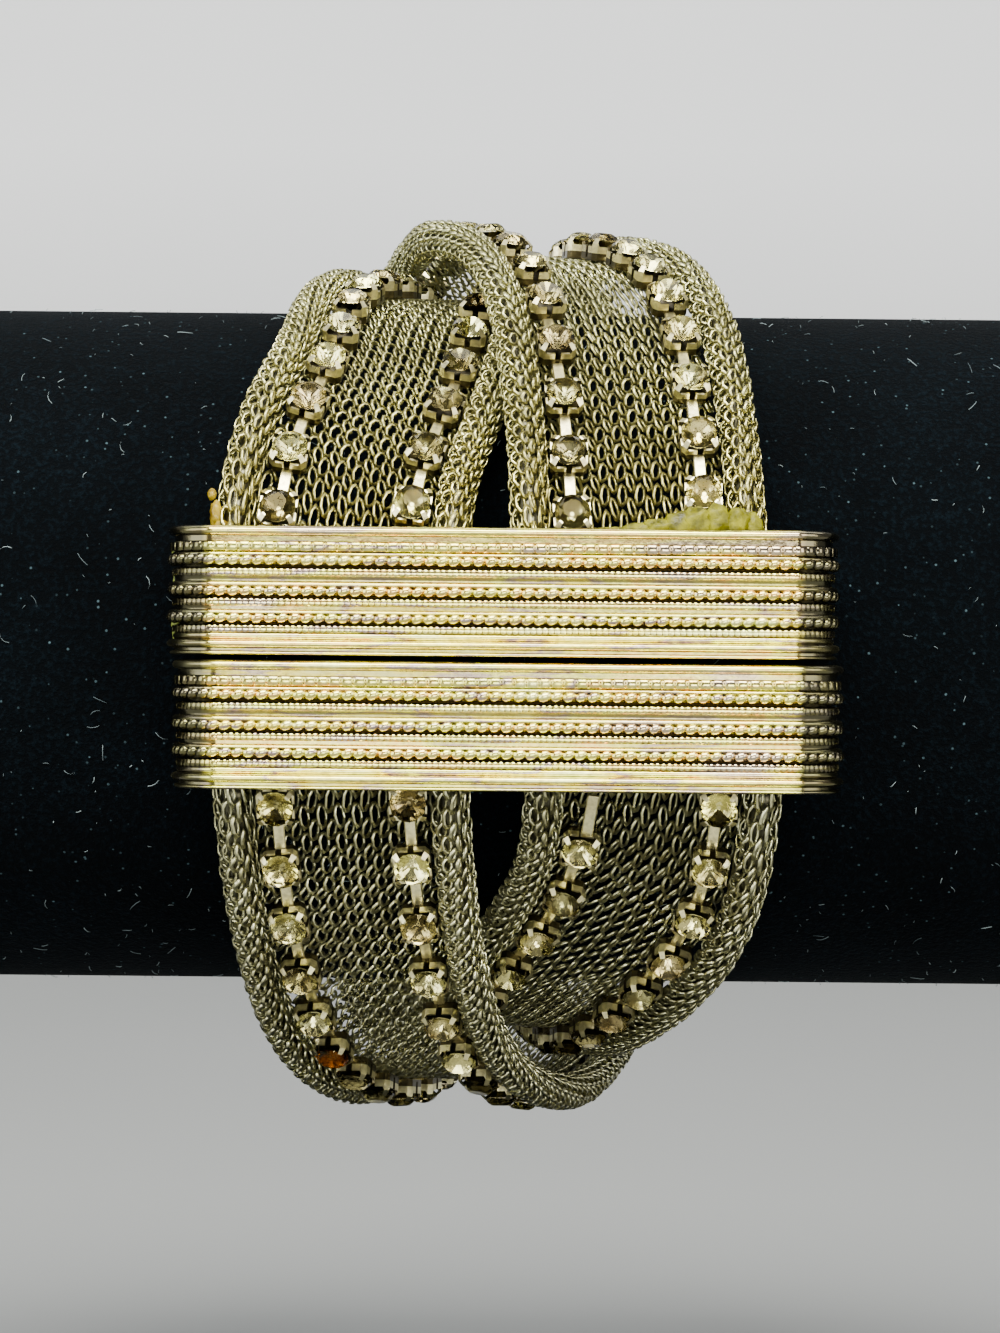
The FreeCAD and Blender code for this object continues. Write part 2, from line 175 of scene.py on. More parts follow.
# Right end of the clasp's outline, as half width and distance behind the front
CLASP_END = [
    (19.5, 0.0),
    (19.8, 0.05),
    (20.1, 0.2),
    (20.7, 0.55),
    (21.4, 1.0),
    (21.95, 1.65),
    (22.25, 2.5),
    (22.38, 3.6),
    (22.4, 5.1),
]


def natural_spline(knots, values, at):
    """Smooth values between the knots, with no bend at the two ends."""
    count = len(knots)
    spans = np.diff(knots)
    slopes = np.diff(values) / spans
    system = np.eye(count)
    known = np.zeros(count)
    for i in range(1, count - 1):
        system[i, i - 1 : i + 2] = spans[i - 1], 2.0 * (spans[i - 1] + spans[i]), spans[i]
        known[i] = 6.0 * (slopes[i] - slopes[i - 1])
    bend = np.linalg.solve(system, known)
    i = np.clip(np.searchsorted(knots, at, side="right") - 1, 0, count - 2)
    span = spans[i]
    ahead = (knots[i + 1] - at) / span
    behind = (at - knots[i]) / span
    curve = (ahead**3 - ahead) * bend[i] + (behind**3 - behind) * bend[i + 1]
    return ahead * values[i] + behind * values[i + 1] + curve * span * span / 6.0


def unit(rows):
    return rows / np.linalg.norm(rows, axis=1, keepdims=True)


class BandLine:
    """Where a place on a mesh band is, from its run along the band, and its place aside and out."""

    # Step between the worked-out places, in degrees round the loop
    STEP = 0.25
    # Places along the band at which a chain's length is measured
    CHAIN_STEPS = 700
    # Half of the run over which a cup takes its direction
    CUP_REACH = 0.2

    def __init__(self, rows):
        knots, across, radius, tilt = np.array(rows).T
        self.angles = np.arange(knots[0] - 1.0, knots[-1] + 1.0 + self.STEP / 2.0, self.STEP)
        turn = np.radians(self.angles)
        reach = natural_spline(knots, radius, self.angles)
        places = [
            natural_spline(knots, across, self.angles),
            -reach * np.cos(turn),
            LOOP_HEIGHT + reach * np.sin(turn),
        ]
        self.centre = np.stack(places, axis=1)
        self.along = unit(np.gradient(self.centre, axis=0))
        outward = np.stack([np.zeros_like(turn), -np.cos(turn), np.sin(turn)], axis=1)
        outward -= self.along * np.sum(outward * self.along, axis=1, keepdims=True)
        outward = unit(outward)
        sideways = np.cross(self.along, outward)
        lean = np.radians(natural_spline(knots, tilt, self.angles))[:, None]
        self.sideways = sideways * np.cos(lean) + outward * np.sin(lean)
        self.outward = outward * np.cos(lean) - sideways * np.sin(lean)
        self.first = knots[0]
        self.last = knots[-1]
        middle = self.centre + self.outward * PANEL_LEVEL
        run = np.concatenate([[0.0], np.cumsum(np.linalg.norm(np.diff(middle, axis=0), axis=1))])
        self.run = run - np.interp(self.first, self.angles, run)
        self.length = float(np.interp(self.last, self.angles, self.run))

    def axes(self, run):
        """Centre, along, sideways and outward for each run."""
        index = np.interp(run, self.run, np.arange(len(self.run)))
        low = np.clip(index.astype(int), 0, len(self.run) - 2)
        part = (index - low)[:, None]
        tables = (self.centre, self.along, self.sideways, self.outward)
        return [table[low] * (1.0 - part) + table[low + 1] * part for table in tables]

    def place(self, run, aside, out):
        centre, _, sideways, outward = self.axes(run)
        return centre + sideways * aside[:, None] + outward * out[:, None]

    def cup_frames(self, chain):
        """A matrix for each cup of a chain: X sideways, Y along, Z outward."""
        whole = np.linspace(0.0, self.length, self.CHAIN_STEPS)
        aside = np.full_like(whole, chain.aside)
        out = np.full_like(whole, CHAIN_BASE)
        line = self.place(whole, aside, out)
        gone = np.concatenate([[0.0], np.cumsum(np.linalg.norm(np.diff(line, axis=0), axis=1))])
        usable = gone[-1] - chain.start - chain.end
        count = int(round(usable / CUP_PITCH))
        wanted = chain.start + usable * np.arange(count + 1) / count
        runs = np.interp(wanted, gone, whole)
        outward = self.axes(runs)[3]
        ahead = self.place(runs + self.CUP_REACH, aside[: count + 1], out[: count + 1])
        behind = self.place(runs - self.CUP_REACH, aside[: count + 1], out[: count + 1])
        along = ahead - behind
        along = unit(along - outward * np.sum(along * outward, axis=1, keepdims=True))
        outward = unit(outward)
        sideways = np.cross(along, outward)
        seats = (ahead + behind) / 2.0
        frames = []
        for seat, x, y, z in zip(seats, sideways, along, outward):
            turned = Matrix((x, y, z)).transposed().to_4x4()
            frames.append(Matrix.Translation(seat) @ turned)
        return frames


BANDS = {name: BandLine(rows) for name, rows in BAND_COURSES.items()}


# Mesh helpers


def finish_mesh(mesh, name, material, smooth=True, sharp=None, nodes=()):
    """Make an object from a mesh in millimetres, give it its materials, hang it under the root empty and
    hide the CAD parts it replaces.
    """
    mesh.transform(Matrix.Scale(MM, 4))
    mesh.polygons.foreach_set("use_smooth", [smooth] * len(mesh.polygons))
    if sharp is not None:
        mesh.set_sharp_from_angle(angle=math.radians(sharp))
    piece = link_object(name, mesh)
    materials = material if isinstance(material, (list, tuple)) else [material]
    for finish in materials:
        mesh.materials.append(finish)
    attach(piece, "root")
    if nodes:
        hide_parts(*nodes)
    return piece


def to_mesh(shape, name):
    mesh = bpy.data.meshes.new(name)
    shape.to_mesh(mesh)
    shape.free()
    return mesh


def place_copies(target, template, matrices, tones=None):
    """Join one copy of a template mesh into the target bmesh for each matrix."""
    layer = None
    if tones is not None:
        layer = target.verts.layers.float.get("tone") or target.verts.layers.float.new("tone")
    for index, matrix in enumerate(matrices):
        before = len(target.verts)
        target.from_mesh(template)
        target.verts.ensure_lookup_table()
        added = target.verts[before:]
        bmesh.ops.transform(target, matrix=matrix, verts=added)
        if layer is not None:
            for vert in added:
                vert[layer] = tones[index]


def verts_in(parts):
    return [part for part in parts if isinstance(part, bmesh.types.BMVert)]


def edges_in(parts):
    return [part for part in parts if isinstance(part, bmesh.types.BMEdge)]


def all_parts(shape):
    return shape.verts[:] + shape.edges[:] + shape.faces[:]


def cut_plane(shape, place, facing):
    bmesh.ops.bisect_plane(shape, geom=all_parts(shape), plane_co=place, plane_no=facing)


def upright_edges(shape, least):
    return [e for e in shape.edges if abs(e.verts[0].co.z - e.verts[1].co.z) > least]


def sized(width, depth, height):
    return Matrix.Diagonal((width, depth, height, 1.0))


def bevel_edges(shape, edges, offset, segments=1):
    bmesh.ops.bevel(
        shape, geom=edges, offset=offset, segments=segments, profile=0.5, material=-1, affect="EDGES"
    )


def extrude_edges(shape, edges):
    """Extrude a row of edges; returns the new edges and the new vertices."""
    grown = bmesh.ops.extrude_edge_only(shape, edges=edges)["geom"]
    return edges_in(grown), verts_in(grown)


def push_faces(shape, faces):
    """Extrude faces and drop the old ones; returns the new vertices."""
    pushed = bmesh.ops.extrude_face_region(shape, geom=faces)["geom"]
    bmesh.ops.delete(shape, geom=faces, context="FACES_ONLY")
    return verts_in(pushed)


def link_object(name, data):
    linked = bpy.data.objects.new(name, data)
    bpy.context.scene.collection.objects.link(linked)
    return linked


def vertex_places(mesh):
    places = np.empty(len(mesh.vertices) * 3, np.float32)
    mesh.vertices.foreach_get("co", places)
    return places.reshape(-1, 3).astype(float)


# Shader helpers


def new_material(name):
    material = bpy.data.materials.new(name)
    material.use_nodes = True
    return material, material.node_tree, material.node_tree.nodes["Principled BSDF"]


def add_node(tree, kind, **values):
    node = tree.nodes.new(kind)
    for key, value in values.items():
        setattr(node, key, value)
    return node


def object_place(tree):
    return add_node(tree, "ShaderNodeTexCoord").outputs["Object"]


def part_of(tree, place, axis):
    split = add_node(tree, "ShaderNodeSeparateXYZ")
    tree.links.new(place, split.inputs["Vector"])
    return split.outputs[axis]


def attribute_value(tree, name):
    return add_node(tree, "ShaderNodeAttribute", attribute_name=name).outputs["Fac"]


def noise_node(tree, vector, scale, detail=3.0, roughness=0.5):
    node = add_node(tree, "ShaderNodeTexNoise")
    node.inputs["Scale"].default_value = scale
    node.inputs["Detail"].default_value = detail
    node.inputs["Roughness"].default_value = roughness
    tree.links.new(vector, node.inputs["Vector"])
    return node


def ramp_node(tree, factor, stops):
    node = add_node(tree, "ShaderNodeValToRGB")
    ramp = node.color_ramp
    while len(ramp.elements) < len(stops):
        ramp.elements.new(0.5)
    for element, (place, colour) in zip(ramp.elements, stops):
        element.position = place
        element.color = (*colour, 1.0) if isinstance(colour, tuple) else (colour, colour, colour, 1.0)
    tree.links.new(factor, node.inputs["Fac"])
    return node.outputs["Color"]


def mix_colours(tree, factor, first, second, blend="MIX"):
    node = add_node(tree, "ShaderNodeMix", data_type="RGBA", blend_type=blend)
    for socket, value in ((node.inputs[0], factor), (node.inputs[6], first), (node.inputs[7], second)):
        if isinstance(value, bpy.types.NodeSocket):
            tree.links.new(value, socket)
        elif isinstance(value, tuple):
            socket.default_value = (*value, 1.0)
        else:
            socket.default_value = value
    return node.outputs[2]


def multiply_colours(tree, first, second):
    return mix_colours(tree, 1.0, first, second, "MULTIPLY")


def multiply_values(tree, first, second):
    node = add_node(tree, "ShaderNodeMath", operation="MULTIPLY")
    tree.links.new(first, node.inputs[0])
    tree.links.new(second, node.inputs[1])
    return node.outputs[0]


def scale_range(tree, value, source, result):
    """A value whose source range, from low to high, is stretched over the result range."""
    node = add_node(tree, "ShaderNodeMapRange")
    tree.links.new(value, node.inputs["Value"])
    labels = ("From Min", "From Max", "To Min", "To Max")
    for label, number in zip(labels, (*source, *result)):
        node.inputs[label].default_value = number
    return node.outputs["Result"]


def bump_to(tree, shader, height, strength, distance):
    bump = add_node(tree, "ShaderNodeBump")
    bump.inputs["Strength"].default_value = strength
    bump.inputs["Distance"].default_value = distance
    tree.links.new(height, bump.inputs["Height"])
    tree.links.new(bump.outputs["Normal"], shader.inputs["Normal"])


def new_group(name, inputs, outputs):
    tree = bpy.data.node_groups.new(name, "ShaderNodeTree")
    for label, kind, value in inputs:
        socket = tree.interface.new_socket(name=label, in_out="INPUT", socket_type=kind)
        socket.default_value = value
    for label, kind in outputs:
        tree.interface.new_socket(name=label, in_out="OUTPUT", socket_type=kind)
    return tree, tree.nodes.new("NodeGroupInput"), tree.nodes.new("NodeGroupOutput")


def tarnish_group():
    """Old plated metal: a bright and a tarnished colour in patches, with fine grain."""
    name = "Tarnished Plating"
    if name in bpy.data.node_groups:
        return bpy.data.node_groups[name]
    inputs = [
        ("Bright", "NodeSocketColor", (0.8, 0.78, 0.7, 1.0)),
        ("Tarnish", "NodeSocketColor", (0.25, 0.23, 0.12, 1.0)),
        ("Patch Scale", "NodeSocketFloat", 120.0),
        ("Grain Scale", "NodeSocketFloat", 2500.0),
        ("Amount", "NodeSocketFloat", 0.5),
    ]
    outputs = [
        ("Color", "NodeSocketColor"),
        ("Roughness", "NodeSocketFloat"),
        ("Height", "NodeSocketFloat"),
    ]
    tree, start, end = new_group(name, inputs, outputs)
    place = object_place(tree)
    patches = noise_node(tree, place, 120.0, 5.0, 0.65)
    grain = noise_node(tree, place, 2500.0, 2.0, 0.5)
    tree.links.new(start.outputs["Patch Scale"], patches.inputs["Scale"])
    tree.links.new(start.outputs["Grain Scale"], grain.inputs["Scale"])
    mask = scale_range(tree, patches.outputs["Fac"], (0.36, 0.66), (0.0, 1.0))
    share = multiply_values(tree, mask, start.outputs["Amount"])
    colour = mix_colours(tree, share, start.outputs["Bright"], start.outputs["Tarnish"])
    speckle = ramp_node(tree, grain.outputs["Fac"], [(0.3, 0.72), (0.6, 1.0)])
    tree.links.new(multiply_colours(tree, colour, speckle), end.inputs["Color"])
    rough = scale_range(tree, patches.outputs["Fac"], (0.3, 0.7), (0.22, 0.42))
    tree.links.new(rough, end.inputs["Roughness"])
    tree.links.new(grain.outputs["Fac"], end.inputs["Height"])
    return tree


def plated_metal(name, bright, tarnish, patch_scale, amount, bump=0.25):
    """A metal material that wears the shared tarnish; returns it with its colour socket."""
    material, tree, shader = new_material(name)
    group = add_node(tree, "ShaderNodeGroup", node_tree=tarnish_group())
    group.inputs["Bright"].default_value = (*bright, 1.0)
    group.inputs["Tarnish"].default_value = (*tarnish, 1.0)
    group.inputs["Patch Scale"].default_value = patch_scale
    group.inputs["Grain Scale"].default_value = 3000.0
    group.inputs["Amount"].default_value = amount
    tree.links.new(group.outputs["Color"], shader.inputs["Base Color"])
    tree.links.new(group.outputs["Roughness"], shader.inputs["Roughness"])
    shader.inputs["Metallic"].default_value = 1.0
    bump_to(tree, shader, group.outputs["Height"], bump, 0.00005)
    return material, tree, shader, group


# Settings


def length_property(name, description, default):
    return FloatProperty(
        name=name, description=description, default=default, unit="LENGTH", precision=5
    )


def angle_property(name, description, degrees):
    return FloatProperty(
        name=name, description=description, default=math.radians(degrees), subtype="ANGLE"
    )


def colour_property(name, description, default):
    return FloatVectorProperty(name=name, description=description, default=default, subtype="COLOR")


class RingMeshSettings(bpy.types.PropertyGroup):
    """Sizes and colours of the woven ring mesh."""

    wire: length_property("Wire", "Thickness of the wire that the rings are made of", 0.00027)
    ring: length_property("Ring", "Diameter of a ring of the panel, outside", 0.00136)
    roll_ring: length_property("Roll Ring", "Diameter of a ring of the rolled edges, outside", 0.00112)
    panel_pitch: length_property("Panel Pitch", "Distance between rings across the flat panel", 0.00121)
    panel_row: length_property("Panel Row", "Distance between rows of rings along the panel", 0.00069)
    roll_row: length_property("Roll Row", "Distance between rows of rings along the rolled edges", 0.00062)
    lean: angle_property("Lean", "How far the rings stand up out of the mesh", 53.0)
    tip: angle_property("Tip", "How far one row of rings tips forward and the next one back", 22.0)
    slant: angle_property("Slant", "How far the rings turn from the length of the band", -10.0)
    stretch: FloatProperty(
        name="Stretch",
        description="How much longer the rings are drawn beside the clasp",
        default=0.9,
        subtype="FACTOR",
    )
    bright: colour_property("Silver", "Colour of the bright wire", (0.92, 0.91, 0.6))
    tarnish: colour_property("Tarnish", "Colour of the tarnished wire", (0.26, 0.24, 0.1))


class CupChainSettings(bpy.types.PropertyGroup):
    """Sizes and colours of the rhinestone cup chains."""

    cup: length_property("Cup", "Width of a square cup", 0.00255)
    height: length_property("Cup Height", "Height of the cup's corner walls", 0.0013)
    wall: length_property("Cup Wall", "Thickness of the cup's sheet metal", 0.00016)
    stone: length_property("Stone", "Diameter of a stone", 0.0025)
    metal: colour_property("Cup Metal", "Colour of the cups and links", (1.0, 0.92, 0.5))


class ClaspSettings(bpy.types.PropertyGroup):
    """Sizes and colours of the bar clasp."""

    strand_pitch: length_property("Strand Pitch", "Distance between the strands of the cast ropes", 0.00082)
    bead_pitch: length_property("Bead Pitch", "Distance between the finest cast beads", 0.0004)
    strand_lean: angle_property("Strand Lean", "Slant of the rope strands", 24.0)
    levels: IntProperty(
        name="Levels",
        description="Steps in the round of each cast ridge",
        default=6,
        min=3,
    )
    gilt: colour_property("Gilt", "Colour of the worn gilt plating", (0.88, 0.83, 0.34))


class DisplaySettings(bpy.types.PropertyGroup):
    """Velvet and lint of the display bar."""

    velvet: colour_property("Velvet", "Colour of the velvet pile", (0.0004, 0.0009, 0.0013))
    lint: IntProperty(
        name="Lint",
        description="How many fibres of lint lie on the velvet",
        default=900,
        min=0,
    )


class StageSettings(bpy.types.PropertyGroup):
    """Camera and light."""

    distance: FloatProperty(
        name="Camera Distance",
        description="Distance from the bar's axis to the camera",
        default=0.25,
        unit="LENGTH",
    )
    lens: FloatProperty(
        name="Lens",
        description="Focal length on a frame 24 mm high",
        default=58.53,
        unit="CAMERA",
    )
    key: FloatProperty(
        name="Key Light",
        description="Power of the large light above the camera",
        default=9.0,
        unit="POWER",
    )


# Ring mesh

# Share of their height that the leaning rings keep, so the mesh stays as thin as it is
RING_FLATTENING = 0.78
WIRE_SIDES = 3
RING_STEPS = 8
PANEL_COLUMNS = 10
ROLL_COLUMNS = 8
# How far the rings of a roll, and the layers inside it, lie under the roll's outside
ROLL_RING_DEPTH = 0.36
ROLL_CORE_DEPTH = 0.62
# How far the rings of a roll wind round it, in radians for a millimetre of its length
ROLL_WINDING = 0.06
# Length beside the clasp over which the rings are drawn out
DRAWN_REACH = 5.5
# How far drawn rings turn, in radians, and the power by which they grow narrower
DRAWN_TURN = 0.2
DRAWN_NARROWING = 0.35
# How unevenly the rings lie: turn in radians, and height
RING_TURN_SPREAD = 0.09
RING_LIFT_SPREAD = 0.03


def ring_sheet(settings, diameter, columns, rows, pitch, row):
    """A flat sheet of linked rings from the origin on; each ring's vertices are a block."""
    wire = settings.wire / MM
    shape = bmesh.new()
    start = Matrix.Translation(((diameter - wire) / 2.0, 0.0, 0.0))
    start = start @ Matrix.Rotation(math.pi / 2.0, 4, "X")
    bmesh.ops.create_circle(shape, segments=WIRE_SIDES, radius=wire / 2.0, matrix=start)
    bmesh.ops.spin(
        shape,
        geom=shape.verts[:] + shape.edges[:],
        cent=(0.0, 0.0, 0.0),
        axis=(0.0, 0.0, 1.0),
        angle=2.0 * math.pi,
        steps=RING_STEPS,
        use_merge=True,
    )
    bmesh.ops.recalc_face_normals(shape, faces=shape.faces)
    first = shape.verts[:]
    second = verts_in(bmesh.ops.duplicate(shape, geom=all_parts(shape))["geom"])
    flat = Matrix.Scale(RING_FLATTENING, 4, (0.0, 0.0, 1.0)) @ Matrix.Rotation(settings.slant, 4, "Z")
    leaned = Matrix.Rotation(settings.lean, 4, "Y")
    for verts, tip in ((first, settings.tip), (second, -settings.tip)):
        turned = flat @ Matrix.Rotation(tip, 4, "X") @ leaned
        bmesh.ops.transform(shape, matrix=turned, verts=verts)
    bmesh.ops.translate(shape, verts=second, vec=(pitch / 2.0, row, 0.0))
    size = len(first)
    mesh = to_mesh(shape, "ring_pair")
    holder = link_object("ring_pair", mesh)
    for count, offset in ((columns, (pitch, 0.0, 0.0)), (rows, (0.0, 2.0 * row, 0.0))):
        array = holder.modifiers.new("repeat", "ARRAY")
        array.use_relative_offset = False
        array.use_constant_offset = True
        array.constant_offset_displace = offset
        array.count = count
    seen = holder.evaluated_get(bpy.context.evaluated_depsgraph_get())
    sheet = bpy.data.meshes.new_from_object(seen)
    bpy.data.objects.remove(holder)
    bpy.data.meshes.remove(mesh)
    places = vertex_places(sheet).reshape(-1, size, 3)
    return sheet, places


def drawn_rows(band, settings, row):
    """How many rows of rings a band takes, and where row places fall when drawn at its ends."""
    runs = np.linspace(0.0, band.length, 2000)
    near = np.minimum(runs, band.length - runs)
    drawn = 1.0 + settings.stretch * np.exp(-((near / DRAWN_REACH) ** 2))
    rows = np.concatenate([[0.0], np.cumsum(np.diff(runs) * 2.0 / (drawn[1:] + drawn[:-1]))])
    count = int(rows[-1] / row / 2.0)
    rows *= count * row * 2.0 / rows[-1]
    return count, lambda place: (np.interp(place, rows, runs), np.interp(place, rows, drawn))


def loosened(places, drawn, seed):
    """Each ring drawn out with its row, and turned a little by itself."""
    source = np.random.default_rng(seed)
    middle = places.mean(axis=1, keepdims=True)
    local = places - middle
    turn = source.normal(0.0, RING_TURN_SPREAD, len(places))[:, None] + (drawn[:, None] - 1.0) * DRAWN_TURN
    x = local[:, :, 0] * np.cos(turn) - local[:, :, 1] * np.sin(turn)
    y = local[:, :, 0] * np.sin(turn) + local[:, :, 1] * np.cos(turn)
    local[:, :, 0] = x / drawn[:, None] ** DRAWN_NARROWING
    local[:, :, 1] = y * drawn[:, None]
    local[:, :, 2] += source.normal(0.0, RING_LIFT_SPREAD, len(places))[:, None]
    tone = np.repeat(source.random(len(places)), places.shape[1])
    return middle, local, tone


def lay_sheet(mesh, places, tone):
    mesh.vertices.foreach_set("co", places.astype(np.float32).ravel())
    attribute = mesh.attributes.new("tone", "FLOAT", "POINT")
    attribute.data.foreach_set("value", tone.astype(np.float32))
    mesh.update()


def panel_mesh(band, settings, seed):
    """The flat middle of a band."""
    pitch = settings.panel_pitch / MM
    row = settings.panel_row / MM
    count, runs_at = drawn_rows(band, settings, row)
    mesh, places = ring_sheet(settings, settings.ring / MM, PANEL_COLUMNS, count, pitch, row)
    run, drawn = runs_at(places[:, :, 1].mean(axis=1))
    middle, local, tone = loosened(places, drawn, seed)
    width = (PANEL_COLUMNS - 0.5) * pitch
    aside = (middle[:, :, 0] - width / 2.0 + local[:, :, 0]).ravel()
    lengthwise = (run[:, None] + local[:, :, 1]).ravel()
    out = (PANEL_LEVEL + local[:, :, 2]).ravel()
    lay_sheet(mesh, band.place(lengthwise, aside, out), tone)
    return mesh


def roll_mesh(band, side, settings, seed):
    """One rolled edge of a band, the same ring mesh wrapped round a tube."""
    radius = ROLL_RADIUS - ROLL_RING_DEPTH
    pitch = 2.0 * math.pi * radius / ROLL_COLUMNS
    row = settings.roll_row / MM
    count, runs_at = drawn_rows(band, settings, row)
    mesh, places = ring_sheet(settings, settings.roll_ring / MM, ROLL_COLUMNS, count, pitch, row)
    run, drawn = runs_at(places[:, :, 1].mean(axis=1))
    middle, local, tone = loosened(places, drawn, seed)
    lengthwise = run[:, None] + local[:, :, 1]
    turn = (middle[:, :, 0] + local[:, :, 0]) / radius + side * lengthwise * ROLL_WINDING
    reach = radius + local[:, :, 2]
    aside = (side * ROLL_OFFSET + reach * np.sin(turn)).ravel()
    out = (ROLL_LEVEL + reach * np.cos(turn)).ravel()
    lay_sheet(mesh, band.place(lengthwise.ravel(), aside, out), tone)
    return mesh


def roll_core(band, side):
    """The inner layers of a rolled edge as a near-black tube, painted shade seen between the rings."""
    segments = 8
    stations = 140
    inset = 0.6
    shape = bmesh.new()
    bmesh.ops.create_circle(shape, segments=segments, radius=ROLL_RADIUS - ROLL_CORE_DEPTH)
    ring = shape.edges[:]
    for _ in range(stations):
        ring, verts = extrude_edges(shape, ring)
        bmesh.ops.translate(shape, verts=verts, vec=(0.0, 0.0, 1.0))
    bmesh.ops.holes_fill(shape, edges=[edge for edge in shape.edges if edge.is_boundary], sides=segments)
    mesh = to_mesh(shape, "roll_core")
    places = vertex_places(mesh)
    run = inset + (band.length - 2.0 * inset) * places[:, 2] / stations
    aside = side * ROLL_OFFSET + places[:, 0]
    out = ROLL_LEVEL + places[:, 1]
    mesh.vertices.foreach_set("co", band.place(run, aside, out).astype(np.float32).ravel())
    shape = bmesh.new()
    shape.from_mesh(mesh)
    bmesh.ops.recalc_face_normals(shape, faces=shape.faces)
    shape.to_mesh(mesh)
    shape.free()
    return mesh


def ring_material(settings):
    material, tree, shader, group = plated_metal(
        "aged_ring_mesh", tuple(settings.bright), tuple(settings.tarnish), 160.0, 0.7
    )
    tone = attribute_value(tree, "tone")
    shade = ramp_node(tree, tone, [(0.0, (0.62, 0.6, 0.52)), (1.0, (1.0, 1.0, 0.97))])
    colour = multiply_colours(tree, group.outputs["Color"], shade)
    place = object_place(tree)
    # Colour by height round the loop: the lower half is kept bright as painted light, higher up the rings
    # turn yellower and near the top a little darker.
    height = scale_range(tree, part_of(tree, place, "Z"), (0.034, 0.1), (0.0, 1.0))
    stops = [
        (0.0, (1.0, 1.0, 0.98)),
        (0.4, (1.0, 1.0, 0.96)),
        (0.62, (1.0, 0.92, 0.5)),
        (0.75, (1.0, 0.96, 0.66)),
        (1.0, (0.88, 0.9, 0.8)),
    ]
    age_and_shade = ramp_node(tree, height, stops)
    aged_and_shaded = multiply_colours(tree, colour, age_and_shade)
    tree.links.new(aged_and_shaded, shader.inputs["Base Color"])
    return material


class BRACELET_OT_mesh_bands(bpy.types.Operator):
    """Weave the panels and rolled edges of both bands from wire rings"""

    bl_idname = "bracelet.mesh_bands"
    bl_label = "Mesh Bands"

    def execute(self, context):
        settings = context.scene.bracelet_mesh
        wire = ring_material(settings)
        # The roll cores' near-black metal is painted shade inside the rolls.
        inside, *_ = plated_metal("roll_inside", (0.1, 0.095, 0.06), (0.03, 0.028, 0.018), 400.0, 0.8)
        for seed, (name, band) in enumerate(BANDS.items()):
            panel = panel_mesh(band, settings, seed * 10)
            finish_mesh(panel, "panel_" + name, wire, nodes=["mesh_band_" + name])
            for side, label in ((-1, "outer_left"), (1, "outer_right")):
                roll = roll_mesh(band, side, settings, seed * 10 + 3 + side)
                finish_mesh(roll, f"roll_{name}_{label}", wire)
                core = roll_core(band, side)
                finish_mesh(core, f"roll_inside_{name}_{label}", inside)
        return {"FINISHED"}


# Cup chains

# Chamfer of a cup's corners, and the shares of its height where its sides are divided for the
# slots, how deep it is hollowed, and how high its rim is between the prongs
CUP_CHAMFER = 0.3
CUP_DIVISION = 0.42
CUP_HOLLOW = 0.72
CUP_RIM = 0.8
# Share of the height above which the slots cut, and below which a cup takes the dark metal as painted shade
CUP_WEB = 0.4
# Share of their height that is left of the walls in a slot
SLOT_FOOT = 0.12
# Slack for telling on which side of a cut a vertex lies
HAIR = 0.01
# Distances from a cup's middle: where its slots end, where the slopes beside them end, and where
# its corner prongs begin
SLOT_HALF_WIDTH = 0.15
SLOT_SLOPE = 0.22
PRONG_START = 0.82
# How high the prongs reach past the corners, and the share of their distance where they bend in
PRONG_HEIGHT = 0.34
PRONG_GRIP = 0.76
# Cross-section of a link, and how far it runs into the cups at both ends together
LINK_WIDTH = 0.8
LINK_THICKNESS = 0.3
LINK_OVERLAP = 0.3
# Height of the links' middle in the cups
LINK_LEVEL = 0.2
# Chain whose last link runs on bare to the clasp: its middle, as a share of the pitch past the
# last cup, its length, as a share of the pitch, and its height
OPEN_END = "right_a"
OPEN_PLACE = 0.62
OPEN_LENGTH = 0.75
OPEN_LEVEL = 0.5
# How far the stones' girdles stand above their cups' corner walls
STONE_LIFT = 0.08
# Largest turn of a cup, and largest tilt and turn of a stone, in radians
CUP_TURN = 0.06
STONE_TILT = 0.12
STONE_TURN = 0.8
# Tone of the stone that has gone dull and of the one that flashes orange, by chain and number,
# and the highest tone of the others
ODD_STONES = {("right_a", 1): 0.95, ("left_a", 33): 1.0}
CLEAR_TONE = 0.92


